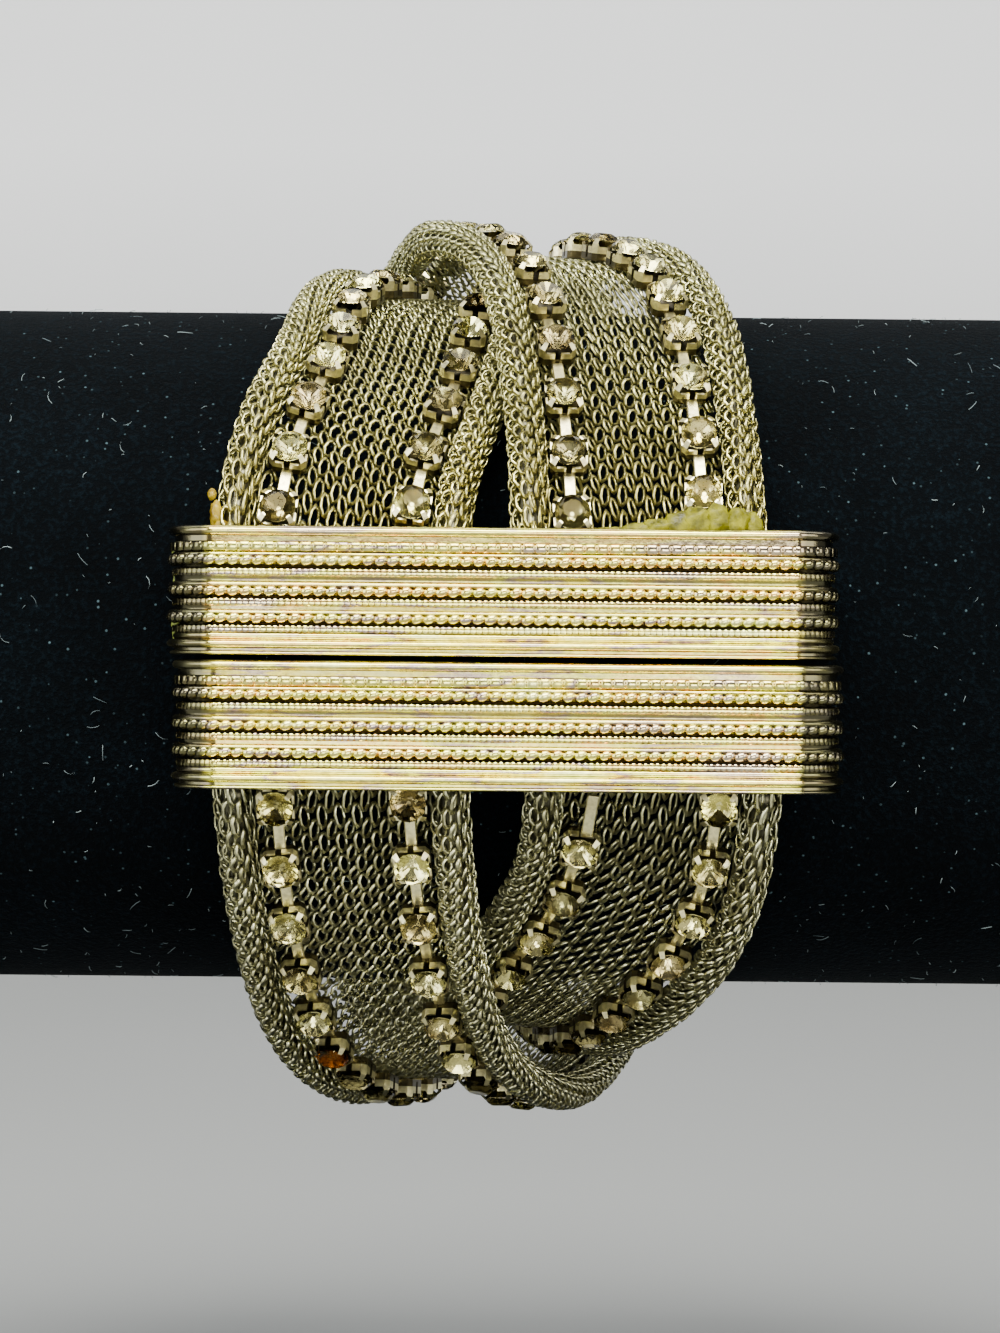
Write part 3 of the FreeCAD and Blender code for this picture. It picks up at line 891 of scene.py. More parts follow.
def cup_template(settings):
    """A square stone cup of folded sheet, with slots in its sides and prongs at its corners."""
    size = settings.cup / MM
    height = settings.height / MM
    wall = settings.wall / MM
    shape = bmesh.new()
    box = Matrix.Translation((0.0, 0.0, height / 2.0)) @ sized(size, size, height)
    bmesh.ops.create_cube(shape, size=1.0, matrix=box)
    bevel_edges(shape, upright_edges(shape, height / 2.0), CUP_CHAMFER)
    cut_plane(shape, (0.0, 0.0, height * CUP_DIVISION), (0.0, 0.0, 1.0))
    top = [face for face in shape.faces if face.normal.z > 0.9]
    bmesh.ops.inset_region(shape, faces=top, thickness=wall)
    sunk = push_faces(shape, top)
    bmesh.ops.translate(shape, verts=sunk, vec=(0.0, 0.0, -height * CUP_HOLLOW))
    cuts = (-PRONG_START, -SLOT_SLOPE, -SLOT_HALF_WIDTH, SLOT_HALF_WIDTH, SLOT_SLOPE, PRONG_START)
    for axis in (Vector((1.0, 0.0, 0.0)), Vector((0.0, 1.0, 0.0))):
        for place in cuts:
            cut_plane(shape, axis * place, axis)
    for vert in shape.verts:
        inward = min(abs(vert.co.x), abs(vert.co.y))
        if vert.co.z > height * CUP_WEB and inward < SLOT_HALF_WIDTH + HAIR:
            vert.co.z *= SLOT_FOOT
        elif vert.co.z > height - HAIR and inward < PRONG_START + HAIR:
            vert.co.z = height * CUP_RIM
    corners = []
    for face in shape.faces:
        middle = face.calc_center_median()
        if middle.z > height - HAIR and min(abs(middle.x), abs(middle.y)) > PRONG_START:
            corners.append(face)
    for vert in push_faces(shape, corners):
        vert.co = Vector((vert.co.x * PRONG_GRIP, vert.co.y * PRONG_GRIP, vert.co.z + PRONG_HEIGHT))
    bmesh.ops.remove_doubles(shape, verts=shape.verts, dist=0.001)
    bmesh.ops.recalc_face_normals(shape, faces=shape.faces)
    # The faces turned into the cup and those low on its walls take the dark metal, painted shade.
    for face in shape.faces:
        middle = face.calc_center_median()
        facing_in = face.normal.x * middle.x + face.normal.y * middle.y < -0.1
        low = middle.z < height * CUP_WEB
        face.material_index = 1 if facing_in or low else 0
    return to_mesh(shape, "cup")


def link_template(reach):
    """A flat link between two cups, with softened edges."""
    shape = bmesh.new()
    bmesh.ops.create_cube(shape, size=1.0, matrix=sized(LINK_WIDTH, reach, LINK_THICKNESS))
    bevel_edges(shape, shape.edges[:], 0.07)
    return to_mesh(shape, "link")


def stone_template(settings):
    """A round cut stone: eight-sided table, star, kite and girdle facets, foiled back."""
    radius = settings.stone / MM / 2.0
    shape = bmesh.new()
    # Corners, radius and height of each ring of facet corners, and its turn in parts of a step
    rings = [
        (8, radius * 0.56, 0.62, 0.5),
        (8, radius * 0.8, 0.42, 0.0),
        (16, radius, 0.08, 0.5),
        (16, radius, 0.0, 0.5),
        (8, radius * 0.12, -0.85, 0.5),
    ]
    for segments, reach, height, turn in rings:
        place = Matrix.Translation((0.0, 0.0, height))
        place = place @ Matrix.Rotation(2.0 * math.pi * turn / segments, 4, "Z")
        bmesh.ops.create_circle(shape, segments=segments, radius=reach, matrix=place)
    bmesh.ops.delete(shape, geom=shape.edges[:], context="EDGES_FACES")
    loose = [vert for vert in shape.verts if not vert.link_edges]
    bmesh.ops.convex_hull(shape, input=loose)
    bmesh.ops.dissolve_limit(
        shape, angle_limit=math.radians(1.0), verts=shape.verts[:], edges=shape.edges[:]
    )
    bmesh.ops.recalc_face_normals(shape, faces=shape.faces)
    for face in shape.faces:
        face.material_index = 1 if face.calc_center_median().z < -0.02 else 0
    return to_mesh(shape, "stone")


def crystal_material():
    material, tree, shader = new_material("foiled_crystal")
    tone = attribute_value(tree, "tone")
    stops = [
        (0.0, (0.96, 0.95, 0.74)),
        (0.4, (0.88, 0.84, 0.58)),
        (0.8, (0.72, 0.62, 0.44)),
        (0.92, (0.72, 0.6, 0.52)),
        (0.95, (0.26, 0.25, 0.2)),
        (0.98, (1.0, 0.3, 0.04)),
    ]
    shade = ramp_node(tree, tone, stops)
    place = object_place(tree)
    # Stones low on the loop are darkened towards the bottom, down to half at the lowest, painted shade.
    height = scale_range(tree, part_of(tree, place, "Z"), (0.034, 0.056), (0.0, 1.0))
    low_stone_shade = ramp_node(tree, height, [(0.0, (0.5, 0.48, 0.46)), (1.0, (1.0, 1.0, 1.0))])
    colour = multiply_colours(tree, shade, low_stone_shade)
    tree.links.new(colour, shader.inputs["Base Color"])
    haze = noise_node(tree, place, 700.0, 3.0)
    rough = scale_range(tree, haze.outputs["Fac"], (0.4, 0.75), (0.0, 0.08))
    tree.links.new(rough, shader.inputs["Roughness"])
    shader.inputs["Transmission Weight"].default_value = 1.0
    shader.inputs["IOR"].default_value = 1.38
    shader.inputs["Specular IOR Level"].default_value = 0.15
    shader.inputs["Specular Tint"].default_value = (0.6, 0.5, 0.2, 1.0)
    return material


def foil_material():
    material, tree, shader = new_material("stone_foil")
    place = object_place(tree)
    age_and_shade = noise_node(tree, place, 500.0, 4.0)
    stops = [(0.4, (0.95, 0.92, 0.52)), (0.6, (0.13, 0.11, 0.045))]
    tree.links.new(ramp_node(tree, age_and_shade.outputs["Fac"], stops), shader.inputs["Base Color"])
    rough = scale_range(tree, age_and_shade.outputs["Fac"], (0.3, 0.8), (0.05, 0.25))
    tree.links.new(rough, shader.inputs["Roughness"])
    shader.inputs["Metallic"].default_value = 1.0
    return material


def link_frames(frames):
    """Where the links lie, half-way between neighbouring cups."""
    places = []
    for before, after in zip(frames, frames[1:]):
        middle = before.lerp(after, 0.5)
        middle.translation = (before.translation + after.translation) / 2.0
        places.append(middle @ Matrix.Translation((0.0, 0.0, LINK_LEVEL)))
    return places


def cups_mesh(chain, frames, turned, cup, settings):
    """The cups of one chain and the links between them."""
    shape = bmesh.new()
    place_copies(shape, cup, turned)
    gap = (frames[1].translation - frames[0].translation).length
    link = link_template(gap - settings.cup / MM + LINK_OVERLAP)
    place_copies(shape, link, link_frames(frames))
    if chain.name == OPEN_END:
        last = frames[-1].copy()
        last.translation += (frames[-1].translation - frames[-2].translation) * OPEN_PLACE
        raised = last @ Matrix.Translation((0.0, 0.0, OPEN_LEVEL))
        place_copies(shape, link_template(gap * OPEN_LENGTH), [raised])
    return to_mesh(shape, "cups")


def stones_mesh(chain, turned, stone, settings, source):
    """The stones of one chain, each a little askew in its cup and with a tone of its own."""
    seat = Matrix.Translation((0.0, 0.0, settings.height / MM + STONE_LIFT))
    placed = []
    tones = []
    for index, matrix in enumerate(turned):
        rock = Matrix.Rotation(source.uniform(-STONE_TILT, STONE_TILT), 4, "X")
        roll = Matrix.Rotation(source.uniform(-STONE_TILT, STONE_TILT), 4, "Y")
        turn = Matrix.Rotation(source.uniform(0.0, STONE_TURN), 4, "Z")
        placed.append(matrix @ seat @ (rock @ roll) @ turn)
        tones.append(ODD_STONES.get((chain.name, index), source.random() * CLEAR_TONE))
    shape = bmesh.new()
    place_copies(shape, stone, placed, tones)
    return to_mesh(shape, "stones")


class BRACELET_OT_cup_chains(bpy.types.Operator):
    """Set the square cups, links and cut stones along their lines of the bands"""

    bl_idname = "bracelet.cup_chains"
    bl_label = "Cup Chains"

    FIRST_SEED = 40

    def execute(self, context):
        settings = context.scene.bracelet_chains
        metal, *_ = plated_metal("cup_metal", tuple(settings.metal), (0.4, 0.33, 0.14), 260.0, 0.5)
        # The cups' dark metal is painted shade inside them and low on their walls.
        inside, *_ = plated_metal("cup_inside", (0.12, 0.1, 0.05), (0.03, 0.025, 0.012), 500.0, 0.8)
        metals = [metal, inside]
        cut_glass = [crystal_material(), foil_material()]
        cup = cup_template(settings)
        stone = stone_template(settings)
        for number, chain in enumerate(CHAINS):
            source = random.Random(self.FIRST_SEED + number)
            frames = BANDS[chain.band].cup_frames(chain)
            turned = []
            for matrix in frames:
                turn = source.uniform(-CUP_TURN, CUP_TURN)
                turned.append(matrix @ Matrix.Rotation(turn, 4, "Z"))
            cups = cups_mesh(chain, frames, turned, cup, settings)
            nodes = ["cup_chain_" + chain.name]
            finish_mesh(cups, "cups_" + chain.name, metals, smooth=False, nodes=nodes)
            stones = stones_mesh(chain, turned, stone, settings, source)
            nodes = ["stones_" + chain.name]
            finish_mesh(stones, "crystals_" + chain.name, cut_glass, smooth=False, nodes=nodes)
        return {"FINISHED"}


# Clasp

# Width, depth and height of one strand of a rope and of one bead
STRAND = (1.12, 0.84, 0.74)
FINE_BEAD = (0.44, 0.15, 0.5)
SQUARE_BEAD = (0.74, 0.13, 0.6)
# How far the strands stand above the middle of their row
STRAND_LIFT = 0.07
# Bare stretch at each end of a row of beads
ROW_INSET = 0.3
# Rounding of the pockets' corners
POCKET_ROUNDING = 0.9
# How soon the ends swell to a ridge's full rise, and the rise that counts as full relief
END_SWELL = 1.6
FULL_RISE = 0.5


def clasp_path(rise):
    """The clasp's outline seen from above, its front moved out by the rise, left to right."""
    depth = CLASP_BACK - CLASP_FRONT
    right = []
    for half_width, behind in CLASP_END:
        swell = rise * min(1.0, behind / depth * END_SWELL)
        right.append((half_width + swell, CLASP_FRONT - rise + behind * (1.0 + rise / depth)))
    front = []
    steps = 12
    flat = CLASP_END[0][0]
    for step in range(1, steps):
        front.append((-flat + 2.0 * flat * step / steps, CLASP_FRONT - rise))
    left = [(-x, y) for x, y in right[::-1]]
    return left + front + right


def relief_levels(steps):
    """Depth below the top edge and rise, in small steps over rounded ridges."""
    levels = [(0.0, 0.0)]
    depth = 0.0
    for row in CLASP_RELIEF:
        if row.rise != 0.0:
            for step in range(1, steps):
                part = step / steps
                round_rise = row.rise * math.sqrt(max(0.0, 1.0 - (2.0 * part - 1.0) ** 2))
                levels.append((depth + row.height * part, round_rise))
        depth += row.height
        levels.append((depth, 0.0))
    scale = CLASP_HALF_HEIGHT / depth
    return [(place * scale, rise) for place, rise in levels]


def casting_body(settings, top):
    """The bar with its rounded ridges, extruded level by level from its top outline."""
    outline = clasp_path(0.0)
    shape = bmesh.new()
    relief = shape.verts.layers.float.new("relief")
    column = shape.verts.layers.int.new("column")
    bmesh.ops.create_circle(shape, segments=len(outline), radius=1.0)
    for index, vert in enumerate(shape.verts):
        vert[column] = index
        vert.co = Vector((*outline[index], top))
    edges = shape.edges[:]
    for depth, rise in relief_levels(settings.levels)[1:]:
        edges, verts = extrude_edges(shape, edges)
        path = clasp_path(rise)
        for vert in verts:
            vert.co = Vector((*path[vert[column]], top - depth))
            vert[relief] = rise / FULL_RISE
    return shape


def path_stations(pitch, rise):
    """Evenly spaced places along the clasp's front and ends, with the way they face."""
    path = np.array(clasp_path(rise))
    steps = np.linalg.norm(np.diff(path, axis=0), axis=1)
    gone = np.concatenate([[0.0], np.cumsum(steps)])
    usable = gone[-1] - 2.0 * ROW_INSET
    count = int(usable / pitch)
    wanted = ROW_INSET + usable * (np.arange(count) + 0.5) / count
    nearby = 0.15
    here, ahead, behind = (
        [np.interp(wanted + offset, gone, path[:, axis]) for axis in (0, 1)]
        for offset in (0.0, nearby, -nearby)
    )
    return here[0], here[1], np.arctan2(ahead[1] - behind[1], ahead[0] - behind[0])


def bead_matrices(rise, height, pitch, lean, seed):
    """Where the beads of one row stand along the clasp's front and ends."""
    source = random.Random(seed)
    matrices = []
    for x, y, turn in zip(*path_stations(pitch, rise)):
        faced = Matrix.Translation((x, y, height)) @ Matrix.Rotation(turn, 4, "Z")
        wobble = 1.0 + source.uniform(-0.05, 0.05)
        matrices.append(faced @ Matrix.Rotation(-lean, 4, "Y") @ Matrix.Scale(wobble, 4))
    return matrices


def bead_template(shape, depth):
    """Give each vertex of a bead its share of the relief, and make the bead a mesh."""
    relief = shape.verts.layers.float.new("relief")
    for vert in shape.verts:
        vert[relief] = 0.5 - vert.co.y / depth
    return to_mesh(shape, "bead")


def rounded_bead(size, around, down):
    shape = bmesh.new()
    bmesh.ops.create_uvsphere(
        shape, u_segments=around, v_segments=down, radius=0.5, matrix=sized(*size)
    )
    return bead_template(shape, size[1])


def square_bead(size):
    shape = bmesh.new()
    bmesh.ops.create_cube(shape, size=1.0, matrix=sized(*size))
    bevel_edges(shape, shape.edges[:], size[0] * 0.1)
    return bead_template(shape, size[1])


def casting(settings, top, seed):
    """One clasp half with all its ropes and beads."""
    joined = casting_body(settings, top)
    strand_pitch = settings.strand_pitch / MM
    bead_pitch = settings.bead_pitch / MM
    # Template, pitch, lean and lift of the copies in each kind of row
    forms = {
        "rope": (rounded_bead(STRAND, 8, 5), strand_pitch, settings.strand_lean, STRAND_LIFT),
        "fine beads": (rounded_bead(FINE_BEAD, 6, 4), bead_pitch, 0.0, 0.0),
        "square beads": (square_bead(SQUARE_BEAD), strand_pitch, 0.0, 0.0),
    }
    scale = CLASP_HALF_HEIGHT / sum(row.height for row in CLASP_RELIEF)
    depth = 0.0
    for number, row in enumerate(CLASP_RELIEF):
        place = top - (depth + row.height / 2.0) * scale
        depth += row.height
        if row.form in forms:
            template, pitch, lean, lift = forms[row.form]
            matrices = bead_matrices(row.rise, place + lift, pitch, lean, seed * 100 + number)
            place_copies(joined, template, matrices)
    return joined


def pocket_cutter(middle, height):
    """A slot for the end of one band, as a solid that stands through the outer edge."""
    shape = bmesh.new()
    size = (2.0 * POCKET_REACH, POCKET_BACK - POCKET_FRONT, POCKET_DEPTH + 1.0)
    place = Vector((middle, (POCKET_BACK + POCKET_FRONT) / 2.0, height + size[2] / 2.0))
    bmesh.ops.create_cube(shape, size=1.0, matrix=Matrix.Translation(place) @ sized(*size))
    bevel_edges(shape, upright_edges(shape, 1.0), POCKET_ROUNDING, 3)
    return to_mesh(shape, "pocket")


def close_ends(shape, top):
    """Close the open top and foot of a casting, and turn its faces outwards."""
    rims = [edge for edge in shape.edges if edge.is_boundary]
    bmesh.ops.contextual_create(shape, geom=[e for e in rims if e.verts[0].co.z > top - 0.1])
    rims = [edge for edge in shape.edges if edge.is_boundary]
    bmesh.ops.contextual_create(shape, geom=rims)
    bmesh.ops.recalc_face_normals(shape, faces=shape.faces)


def with_pockets(mesh, pockets):
    """A casting's mesh with the pockets for the bands cut out of it."""
    holder = link_object("clasp", mesh)
    cutters = [link_object("pocket", pocket) for pocket in pockets]
    for cutter in cutters:
        cut = holder.modifiers.new("pocket", "BOOLEAN")
        cut.operation = "DIFFERENCE"
        cut.solver = "EXACT"
        cut.use_self = True
        cut.object = cutter
    seen = holder.evaluated_get(bpy.context.evaluated_depsgraph_get())
    finished = bpy.data.meshes.new_from_object(seen)
    for spare in (*cutters, holder):
        bpy.data.objects.remove(spare)
    return finished


def gilt_material(settings):
    material, tree, shader, group = plated_metal(
        "worn_gilt", tuple(settings.gilt), (0.82, 0.72, 0.24), 90.0, 0.6, 0.18
    )
    place = object_place(tree)
    streaks = add_node(tree, "ShaderNodeMapping")
    streaks.inputs["Scale"].default_value = (1.0, 1.0, 7.0)
    tree.links.new(place, streaks.inputs["Vector"])
    bands = noise_node(tree, streaks.outputs["Vector"], 75.0, 4.0, 0.6)
    stops = [
        (0.36, (0.7, 0.6, 1.0)),
        (0.41, (1.0, 0.97, 0.6)),
        (0.45, (1.0, 0.72, 0.56)),
        (0.48, (1.0, 0.96, 0.55)),
        (0.52, (0.88, 0.92, 0.5)),
        (0.56, (0.5, 0.4, 1.0)),
        (0.59, (1.0, 0.9, 0.26)),
        (0.65, (1.0, 1.0, 0.9)),
        (0.72, (0.84, 0.95, 0.8)),
    ]
    tint = ramp_node(tree, bands.outputs["Fac"], stops)
    colour = multiply_colours(tree, group.outputs["Color"], tint)
    relief = attribute_value(tree, "relief")
    sheen = scale_range(tree, bands.outputs["Fac"], (0.35, 0.65), (0.14, 0.3))
    tree.links.new(sheen, shader.inputs["Roughness"])
    # Grooves, undercuts and the backs of the beads are darkened towards near-black, painted shade.
    low = scale_range(tree, relief, (-0.06, 0.15), (0.97, 0.0))
    recess_shaded = mix_colours(tree, low, colour, (0.07, 0.05, 0.02))
    # Past the flat front the clasp's rounded ends go near-black, painted shade.
    width = add_node(tree, "ShaderNodeMath", operation="ABSOLUTE")
    tree.links.new(part_of(tree, place, "X"), width.inputs[0])
    ends = scale_range(tree, width.outputs[0], (0.0195, 0.0203), (0.0, 0.93))
    tree.links.new(mix_colours(tree, ends, recess_shaded, (0.08, 0.075, 0.045)), shader.inputs["Base Color"])
    return material


class BRACELET_OT_clasp(bpy.types.Operator):
    """Cast the two halves of the magnetic bar clasp with their ropes and beads"""

    bl_idname = "bracelet.clasp"
    bl_label = "Clasp"

    def execute(self, context):
        settings = context.scene.bracelet_clasp
        gilt = gilt_material(settings)
        upper_top = CLASP_MIDDLE + CLASP_SEAM / 2.0 + CLASP_HALF_HEIGHT
        lower_top = CLASP_MIDDLE - CLASP_SEAM / 2.0
        lower_foot = lower_top - CLASP_HALF_HEIGHT
        # Name, top edge, shift to the right, foot of the pockets, and which end of the bands they take
        halves = [
            ("upper", upper_top, 0.0, upper_top - POCKET_DEPTH, 0),
            ("lower", lower_top, LOWER_HALF_SHIFT, lower_foot - 1.0, -1),
        ]
        for seed, (name, top, shift, pocket, end) in enumerate(halves):
            shape = casting(settings, top, seed)
            bmesh.ops.translate(shape, verts=shape.verts, vec=(shift, 0.0, 0.0))
            close_ends(shape, top)
            pockets = [pocket_cutter(band[end].across, pocket) for band in BAND_COURSES.values()]
            mesh = with_pockets(to_mesh(shape, "clasp_" + name), pockets)
            nodes = ["clasp_" + name + "_half"]
            finish_mesh(mesh, "casting_" + name, gilt, sharp=50.0, nodes=nodes)
        return {"FINISHED"}


# Display, lint and glue

# Lint: where it lies round the bar, in degrees up from its front, how far its fibres start above
# the velvet, their shortest and longest length, their radius, and how much they bend, in radians
LINT_ARC = (-85.0, 110.0)
LINT_LIFT = 0.03
LINT_SHORTEST = 0.1
LINT_LONGEST = 1.2
LINT_RADIUS = (0.018, 0.034)
LINT_BEND = 1.6
# Scale and share of each noise that roughens the glue
LUMP_NOISES = [(1.3, 0.4), (4.3, 0.35)]


def velvet_material(settings):
    material, tree, shader = new_material("black_velvet")
    place = object_place(tree)
    pile = noise_node(tree, place, 2600.0, 3.0, 0.7)
    nap = noise_node(tree, place, 90.0, 4.0, 0.6)
    base = tuple(settings.velvet)
    bright = tuple(5.0 * part for part in base)
    shade = ramp_node(tree, pile.outputs["Fac"], [(0.48, base), (0.72, bright)])
    brushed = ramp_node(tree, nap.outputs["Fac"], [(0.35, 0.45), (0.7, 1.0)])
    colour = multiply_colours(tree, shade, brushed)
    # Sparse pale specks where the pile tips catch the light, painted highlights.
    fleck = add_node(tree, "ShaderNodeTexVoronoi", feature="F1")
    fleck.inputs["Scale"].default_value = 1500.0
    tree.links.new(place, fleck.inputs["Vector"])
    close = scale_range(tree, fleck.outputs["Distance"], (0.1, 0.16), (1.0, 0.0))
    chance = add_node(tree, "ShaderNodeSeparateColor")
    tree.links.new(fleck.outputs["Color"], chance.inputs["Color"])
    rare = scale_range(tree, chance.outputs["Red"], (0.55, 1.0), (0.0, 1.0))
    glint_specked = mix_colours(tree, multiply_values(tree, close, rare), colour, (0.035, 0.06, 0.068))
    tree.links.new(glint_specked, shader.inputs["Base Color"])
    rough = scale_range(tree, pile.outputs["Fac"], (0.3, 0.7), (0.85, 1.0))
    tree.links.new(rough, shader.inputs["Roughness"])
    shader.inputs["Specular IOR Level"].default_value = 0.03
    shader.inputs["Sheen Weight"].default_value = 0.012
    shader.inputs["Sheen Roughness"].default_value = 0.45
    shader.inputs["Sheen Tint"].default_value = (0.5, 0.62, 0.7, 1.0)
    bump_to(tree, shader, pile.outputs["Fac"], 0.8, 0.0003)
    return material


def lint_material():
    material, tree, shader = new_material("lint")
    place = object_place(tree)
    hue = noise_node(tree, place, 160.0, 2.0)
    stops = [(0.35, (0.04, 0.06, 0.065)), (0.65, (0.2, 0.25, 0.25))]
    tree.links.new(ramp_node(tree, hue.outputs["Fac"], stops), shader.inputs["Base Color"])
    rough = scale_range(tree, hue.outputs["Fac"], (0.3, 0.7), (0.6, 0.9))
    tree.links.new(rough, shader.inputs["Roughness"])
    return material


def direction(heading, side, around):
    return side * math.cos(heading) + around * math.sin(heading)


def lint_fibres(count):
    """Short bent fibres scattered over the bar's front, top and underside."""
    source = random.Random(7)
    side = Vector((1.0, 0.0, 0.0))
    reach = BAR_HALF_LENGTH - 2.0
    steps = 3
    arch = 0.07
    shape = bmesh.new()
    for _ in range(count):
        turn = math.radians(source.uniform(*LINT_ARC))
        x = source.uniform(-reach, reach)
        outward = Vector((0.0, -math.cos(turn), math.sin(turn)))
        around = Vector((0.0, math.sin(turn), math.cos(turn)))
        seat = Vector((x, 0.0, BAR_HEIGHT)) + outward * (BAR_RADIUS + LINT_LIFT)
        heading = source.uniform(0.0, 2.0 * math.pi)
        bend = source.uniform(-LINT_BEND, LINT_BEND)
        fibre = LINT_SHORTEST + (LINT_LONGEST - LINT_SHORTEST) * source.random() ** 2.5
        radius = source.uniform(*LINT_RADIUS)
        facing = direction(heading, side, around).to_track_quat("Z", "Y").to_matrix().to_4x4()
        start = Matrix.Translation(seat) @ facing
        ring = bmesh.ops.create_circle(shape, segments=3, radius=radius, matrix=start)["verts"]
        edges = list({edge for vert in ring for edge in vert.link_edges})
        first = edges
        for step in range(steps):
            edges, verts = extrude_edges(shape, edges)
            heading += bend / steps
            move = direction(heading, side, around) * (fibre / steps)
            move += outward * (arch * math.sin(math.pi * (step + 1) / steps))
            bmesh.ops.translate(shape, verts=verts, vec=move)
        bmesh.ops.holes_fill(shape, edges=first + edges, sides=3)
    bmesh.ops.recalc_face_normals(shape, faces=shape.faces)
    return to_mesh(shape, "lint")


class BRACELET_OT_display(bpy.types.Operator):
    """Cover the display bar, posts and base with velvet, and scatter lint on the bar"""

    bl_idname = "bracelet.display"
    bl_label = "Velvet Display"

    def execute(self, context):
        settings = context.scene.bracelet_display
        velvet = velvet_material(settings)
        for name in ("display_bar", "display_base", "display_post_left", "display_post_right"):
            node = bpy.data.objects[name]
            node.data.materials.clear()
            node.data.materials.append(velvet)
        finish_mesh(lint_fibres(settings.lint), "lint", lint_material())
        return {"FINISHED"}


# Glue lumps: place, size, the share of noise in their shape, and their finish
Lump = namedtuple("Lump", "x y z wide deep high rough finish")
GLUE_LUMPS = [
    Lump(7.4, -31.6, 75.75, 2.2, 1.0, 0.5, 0.9, "glue"),
    Lump(9.0, -31.6, 75.85, 2.4, 1.2, 0.9, 0.9, "glue"),
    Lump(10.4, -31.7, 76.0, 2.2, 1.4, 1.3, 0.9, "glue"),
    Lump(11.7, -31.7, 76.2, 2.2, 1.5, 1.7, 0.9, "glue"),
    Lump(13.0, -31.7, 76.4, 2.2, 1.6, 2.1, 0.9, "glue"),
    Lump(14.3, -31.6, 76.5, 2.0, 1.6, 2.4, 0.9, "glue"),
    Lump(15.6, -31.5, 76.4, 1.8, 1.5, 2.2, 0.9, "glue"),
    Lump(16.7, -31.3, 76.1, 1.4, 1.2, 1.6, 0.9, "glue"),
    Lump(-19.5, -30.2, 76.6, 0.9, 0.9, 1.9, 0.6, "amber"),
    Lump(-19.8, -30.0, 78.0, 0.6, 0.7, 0.8, 0.6, "amber"),
    Lump(-19.1, -30.4, 75.9, 1.1, 0.8, 0.7, 0.6, "amber"),
    Lump(-22.3, -28.9, 73.9, 0.5, 1.4, 1.1, 0.8, "flake"),
    Lump(-22.3, -28.6, 72.2, 0.45, 1.2, 1.5, 0.8, "flake"),
    Lump(-22.2, -29.2, 68.9, 0.6, 1.6, 1.5, 0.8, "flake"),
]


def lump_mesh(lumps):
    """Soft lumps, pressed and roughened by noise."""
    shape = bmesh.new()
    for lump in lumps:
        before = len(shape.verts)
        form = sized(lump.wide, lump.deep, lump.high)
        bmesh.ops.create_icosphere(shape, subdivisions=3, radius=0.5, matrix=form)
        shape.verts.ensure_lookup_table()
        middle = Vector((lump.x, lump.y, lump.z))
        for vert in shape.verts[before:]:
            place = vert.co + middle
            swell = sum(noise.noise(place * scale) * share for scale, share in LUMP_NOISES)
            vert.co = middle + vert.co * (1.0 + lump.rough * swell)
    return to_mesh(shape, "lumps")


def glue_material(name, light, dark, coat):
    material, tree, shader = new_material(name)
    place = object_place(tree)
    clouds = noise_node(tree, place, 900.0, 4.0, 0.6)
    colour = ramp_node(tree, clouds.outputs["Fac"], [(0.35, dark), (0.65, light)])
    tree.links.new(colour, shader.inputs["Base Color"])
    rough = scale_range(tree, clouds.outputs["Fac"], (0.3, 0.7), (0.3, 0.6))
    tree.links.new(rough, shader.inputs["Roughness"])
    shader.inputs["Coat Weight"].default_value = coat
    shader.inputs["Specular IOR Level"].default_value = 0.25
    bump_to(tree, shader, clouds.outputs["Fac"], 0.9, 0.0002)
    return material


class BRACELET_OT_glue(bpy.types.Operator):
    """Leave the old glue beside the bands and on the clasp's left end"""

    bl_idname = "bracelet.glue"
    bl_label = "Old Glue"

    # Light and dark colour and clear coat of each finish
    FINISHES = {
        "glue": ((0.2, 0.19, 0.001), (0.04, 0.038, 0.0), 0.0),
        "amber": ((0.34, 0.24, 0.002), (0.1, 0.06, 0.001), 0.3),
        "flake": ((0.3, 0.34, 0.06), (0.06, 0.08, 0.01), 0.0),
    }

    def execute(self, context):
        for finish, (light, dark, coat) in self.FINISHES.items():
            mesh = lump_mesh([lump for lump in GLUE_LUMPS if lump.finish == finish])
            material = glue_material("old_" + finish, light, dark, coat)
            finish_mesh(mesh, "residue_" + finish, material)
        return {"FINISHED"}


# Stage


def stage_material():
    material, tree, shader = new_material("pale_paper")
    place = object_place(tree)
    cloud = noise_node(tree, place, 3.0, 2.0)
    stops = [(0.3, (0.94, 0.945, 0.945)), (0.7, (1.0, 1.0, 1.0))]
    mottled = ramp_node(tree, cloud.outputs["Fac"], stops)
    # Darker low on the floor and lighter up the backdrop, painted shade in a gradient by height.
    stops = [(0.0, (0.24, 0.247, 0.241)), (0.3, (0.42, 0.43, 0.42)), (1.0, (0.94, 0.95, 0.94))]
    rise = scale_range(tree, part_of(tree, place, "Z"), (0.0, 0.25), (0.0, 1.0))
    tone = ramp_node(tree, rise, stops)
    paper = multiply_colours(tree, tone, mottled)
    tree.links.new(paper, shader.inputs["Base Color"])
    shader.inputs["Roughness"].default_value = 0.9
    shader.inputs["Specular IOR Level"].default_value = 0.2
    return material


def sweep_mesh():
    """A pale floor that curves up into a backdrop."""
    shape = bmesh.new()
    half_width = 1.6
    near = -1.2
    far = 0.5
    radius = 0.45
    height = 2.2
    steps = 12
    start = shape.verts.new((-half_width, near, 0.0))
    end = shape.verts.new((half_width, near, 0.0))
    edges = [shape.edges.new((start, end))]
    profile = [(far, 0.0)]
    for step in range(1, steps + 1):
        turn = math.radians(90.0 / steps * step)
        profile.append((far + radius * math.sin(turn), radius * (1.0 - math.cos(turn))))
    profile.append((far + radius, height))
    for y, z in profile:
        edges, verts = extrude_edges(shape, edges)
        for vert in verts:
            vert.co = Vector((vert.co.x, y, z))
    bmesh.ops.recalc_face_normals(shape, faces=shape.faces)
    return to_mesh(shape, "sweep")


